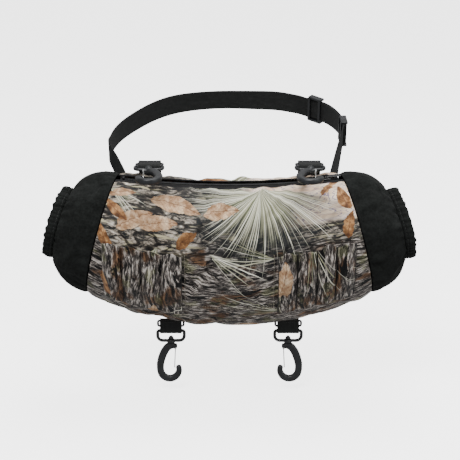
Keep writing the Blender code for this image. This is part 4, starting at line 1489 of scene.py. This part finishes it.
def lathe(name, profile, material, sides=32, at=(0, 0, 0), closed=False):
    """A profile of (radius, z) turned round Z; open profiles are capped at both ends."""
    profile = np.asarray(profile, float)
    angles = np.linspace(0, 2 * math.pi, sides, endpoint=False)
    points = np.stack(
        [
            profile[:, 0:1] * np.cos(angles) + at[0],
            profile[:, 0:1] * np.sin(angles) + at[1],
            profile[:, 1:2] + 0 * angles + at[2],
        ],
        axis=-1,
    )
    rows = len(profile)
    faces = grid_faces(rows, sides, closed, True, flip=False)
    if not closed:
        faces.append(tuple(reversed(range(sides))))
        faces.append(tuple(range((rows - 1) * sides, rows * sides)))
    piece = mesh_object(name, points.reshape(-1, 3), faces, material)
    face_outward(piece)
    piece.data.set_sharp_from_angle(angle=math.radians(35))
    return piece


def rounded_loop(width, height, top_radius, low_radius, steps=9):
    """Points of a rounded rectangle in XZ, centred on the origin."""
    points = []
    for sx, sz, start in ((1, 1, 0), (-1, 1, 90), (-1, -1, 180), (1, -1, 270)):
        radius = top_radius if sz > 0 else low_radius
        for i in range(steps + 1):
            a = math.radians(start + 90 * i / steps)
            x = sx * (width / 2 - radius) + radius * math.cos(a)
            points.append((x, 0, sz * (height / 2 - radius) + radius * math.sin(a)))
    return np.array(points)


def rounded_box(name, size, at, bevel, material):
    """A moulded bar with rounded edges."""
    bm = bmesh.new()
    bmesh.ops.create_cube(bm, size=1.0)
    bmesh.ops.scale(bm, vec=size, verts=bm.verts)
    bmesh.ops.bevel(bm, geom=bm.edges[:], offset=bevel, segments=4, affect="EDGES", profile=0.5)
    bmesh.ops.translate(bm, vec=at, verts=bm.verts)
    mesh = bpy.data.meshes.new(name)
    bm.to_mesh(mesh)
    bm.free()
    mesh.shade_smooth()
    return add_object(name, mesh, material)


def hook_bar(side):
    """The hook's curved bar: oval, with grip ridges down its outer side."""
    path = smooth_line(HOOK_PATH, 10)
    count = len(path)
    x = path[:, 0] * HOOK_SCALE * side
    z = path[:, 1] * HOOK_SCALE + HOOK_TOP
    points = np.stack([x, 0 * x, z], axis=-1)
    tangents = np.gradient(points, axis=0)
    tangents /= np.linalg.norm(tangents, axis=1)[:, None]
    outward = np.stack([-tangents[:, 2], 0 * x, tangents[:, 0]], axis=-1) * -side
    steps = np.linalg.norm(np.diff(points, axis=0), axis=1)
    length = np.concatenate([[0], np.cumsum(steps)])
    grip = ease((length - 0.009) / 0.003) * ease((0.031 - length) / 0.003)
    ridge = np.abs(np.sin(length * math.pi / 0.0024)) ** 0.7
    sides = 24
    a = np.linspace(0, 2 * math.pi, sides, endpoint=False)
    rings = []
    for i in range(count):
        radius = HOOK_BAR * path[i, 2] * (1.0 if i < count - 4 else 0.93 - 0.10 * (i - count + 4))
        outer = np.clip(np.cos(a), 0, 1) ** 0.6
        reach = radius * (1 + grip[i] * outer * (0.16 * ridge[i] - 0.04))
        square = 1 / (np.abs(np.cos(a)) ** 3.2 + np.abs(np.sin(a)) ** 3.2) ** (1 / 3.2)
        across = np.sin(a) * radius * 0.86 * square
        out = np.cos(a) * reach * square
        ring = points[i] + outward[i] * out[:, None]
        ring[:, 1] += across
        rings.append(ring)
    faces = grid_faces(count, sides, False, True, flip=side > 0)
    faces.append(tuple(range(sides)) if side > 0 else tuple(reversed(range(sides))))
    last = range((count - 1) * sides, count * sides)
    faces.append(tuple(reversed(last)) if side > 0 else tuple(last))
    return face_outward(mesh_object("hook_bar", np.array(rings).reshape(-1, 3), faces, PLASTIC))


def hook_set(place, x, pivot, turn, side, leg=0.0):
    """Tab, ring, swivel frame, hook and gate; the frame's top bar is the origin."""
    matrix = Matrix.Translation((x, *pivot)) @ Matrix.Rotation(turn, 4, "X")

    radius = TAB_GAP + WEBBING_THICK / 2
    end = TAB_LENGTH
    bend = [(radius * math.cos(a), radius * math.sin(a)) for a in np.linspace(-math.pi, 0, 15)]
    front = [(-radius, end), (-radius, end * 0.6), (-radius - 0.0002, end * 0.3)]
    back = [(radius + 0.0002, end * 0.3), (radius, end * 0.6), (radius, end)]
    if leg:
        front = [(leg, end + 0.0030), (leg * 0.5, end + 0.0030), (-radius + 0.0008, end + 0.0018)]
        front += [(-radius, end - 0.0020), (-radius, end / 2)]
        back = [(radius, end / 2), (radius, end - 0.0048)]
        back += [(radius + 0.0010, end - 0.0024), (leg, end - 0.0008)]
    line = smooth_line([(0.0, y, z) for y, z in front + bend + back], 4)
    tab = strap(place + "_webbing_tab", line, np.tile([-1.0, 0, 0], (len(line), 1)), 0.0011)
    place_mesh(tab, matrix)
    stands_for(tab, place + "_hook_tab")
    if not leg:
        rows = []
        for z in (end - 0.0004, end - 0.0024):
            row = [Vector((px, -radius - 0.0006, z)) for px in np.linspace(-0.0115, 0.0115, 20)]
            rows.append([(matrix @ p)[:] for p in row])
        thread = stitches(place + "_tab_stitches", rows, 0.0024, 0.00028, BLACK_THREAD)
        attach(thread, "root")

    middle = TAB_LENGTH - 0.0050
    loop = rounded_loop(0.0300, 0.0064, 0.0020, 0.0020, 6) + np.array([0, 0, middle])
    ring = curve_tube(place + "_square_ring", loop, 0.0013, PLASTIC, 14, closed=True)
    place_mesh(ring, matrix)
    stands_for(ring, place + "_tab_ring")

    loop = rounded_loop(FRAME_WIDTH, FRAME_HEIGHT, 0.0026, 0.0062)
    loop = loop - np.array([0, 0, FRAME_HEIGHT / 2])
    wire = curve_tube("frame_wire", loop, FRAME_WIRE, PLASTIC, 18, closed=True)
    low = -FRAME_HEIGHT
    boss = lathe(
        "boss",
        [
            (POST_RADIUS + 0.0004, -0.0021),
            (0.0044, -0.0021),
            (0.0048, -0.0017),
            (0.0046, 0.0004),
            (0.0039, 0.0018),
            (0.0034, 0.0021),
            (POST_RADIUS + 0.0004, 0.0021),
        ],
        PLASTIC,
        at=(0, 0, low),
        closed=True,
    )
    body = place + "_swivel_frame"
    made = place_mesh(join(place + "_swivel_loop", [wire, boss]), matrix)
    stands_for(made, place + "_swivel_frame", body)

    collar = lathe(
        "collar",
        [
            (0.0034, -0.0020),
            (0.0038, -0.0016),
            (0.0044, 0.0008),
            (0.0045, 0.0014),
            (0.0040, 0.0017),
        ],
        PLASTIC,
        at=(0, 0, HOOK_TOP),
    )
    bar = [(POST_RADIUS, -0.0036), (POST_RADIUS, 0.0034)]
    post = lathe("post", bar, PLASTIC, at=(0, 0, low - 0.0002))
    head = lathe(
        "head",
        [
            (0.0026, -0.0018),
            (0.0031, -0.0014),
            (0.0030, -0.0006),
            (0.0020, 0.0010),
            (0.0011, 0.0018),
        ],
        PLASTIC,
        at=(0, 0, low + 0.0043),
    )
    at = (0.0034 * side, 0, HOOK_TOP - 0.0028)
    lobe = rounded_box("lobe", (0.0076, 0.0056, 0.0058), at, 0.0019, PLASTIC)
    rod = [(0.0011, -0.0030), (0.0013, -0.0026), (0.0013, 0.0026), (0.0011, 0.0030)]
    pin = lathe("pin", rod, STEEL, 20)
    at = Matrix.Translation((0.0050 * side, 0, HOOK_TOP - 0.0050))
    pin.data.transform(at @ Matrix.Rotation(math.pi / 2, 4, "X"))
    made = join(place + "_hook_body", [hook_bar(side), collar, post, head, lobe, pin])
    place_mesh(made, matrix)
    stands_for(made, place + "_snap_hook", place + "_snap_hook")

    start = np.array([0.0050 * side, 0, HOOK_TOP - 0.0062])
    tip = np.array([0.0038 * side, 0, HOOK_TOP - 0.0295])
    y = np.array([0, 0.0014, 0])
    knee = mix(start, tip, 0.90)
    legs = [start - y, mix(start, tip, 0.4) - y, knee - y, tip - y * 0.6]
    legs += [tip + y * 0.6, knee + y, mix(start, tip, 0.4) + y, start + y]
    line = smooth_line(legs, 6)
    gate = curve_tube(place + "_gate_spring", line, 0.00058, STEEL, 10)
    place_mesh(gate, matrix)
    stands_for(gate, place + "_wire_gate", place + "_wire_gate")


def hooks():
    """Two hooks hang from the bottom hem, and two lie on the top, over the zip."""
    hook_set("lower_left", -LOWER_X, LOWER_PIVOT, 0, 1)
    hook_set("lower_right", LOWER_X, LOWER_PIVOT, 0, -1)
    x = UPPER_X + WEBBING / 2
    y = UPPER_PIVOT[0] + TAB_LENGTH
    angles = np.radians(np.linspace(60, 150, 400))
    top = at_x(x, angles)
    leg = UPPER_PIVOT[1] - float(np.interp(y, top[:, 1], top[:, 2])) - 0.0015
    for place, side in (("upper_left", -1), ("upper_right", 1)):
        hook_set(place, UPPER_X * side, UPPER_PIVOT, math.radians(-90), side, leg)


def finish_rigid_nodes():
    """Rounded edges and detailed materials for the CAD nodes that stay."""
    looks = {
        "rear_belt_adjuster": PLASTIC,
        "side_belt_adjuster": PLASTIC,
        "zip_slider": SLIDER,
        "zip_pull": SLIDER,
        "left_zip_stop": SLIDER,
        "right_zip_stop": SLIDER,
    }
    for name, look_of in looks.items():
        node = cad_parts[name]
        for slot in node.material_slots:
            slot.material = look_of
        rounded = node.modifiers.new("rounded", "BEVEL")
        rounded.width = 0.0003
        rounded.segments = 3
        rounded.limit_method = "ANGLE"
        rounded.angle_limit = math.radians(40)


look()
soft_body()
zip_tape("front_zip_tape", "zip_tape_front", -0.0085, -0.0002)
zip_tape("back_zip_tape", "zip_tape_back", 0.0002, 0.0085)
zip_coil()
belt()
hooks()
finish_rigid_nodes()
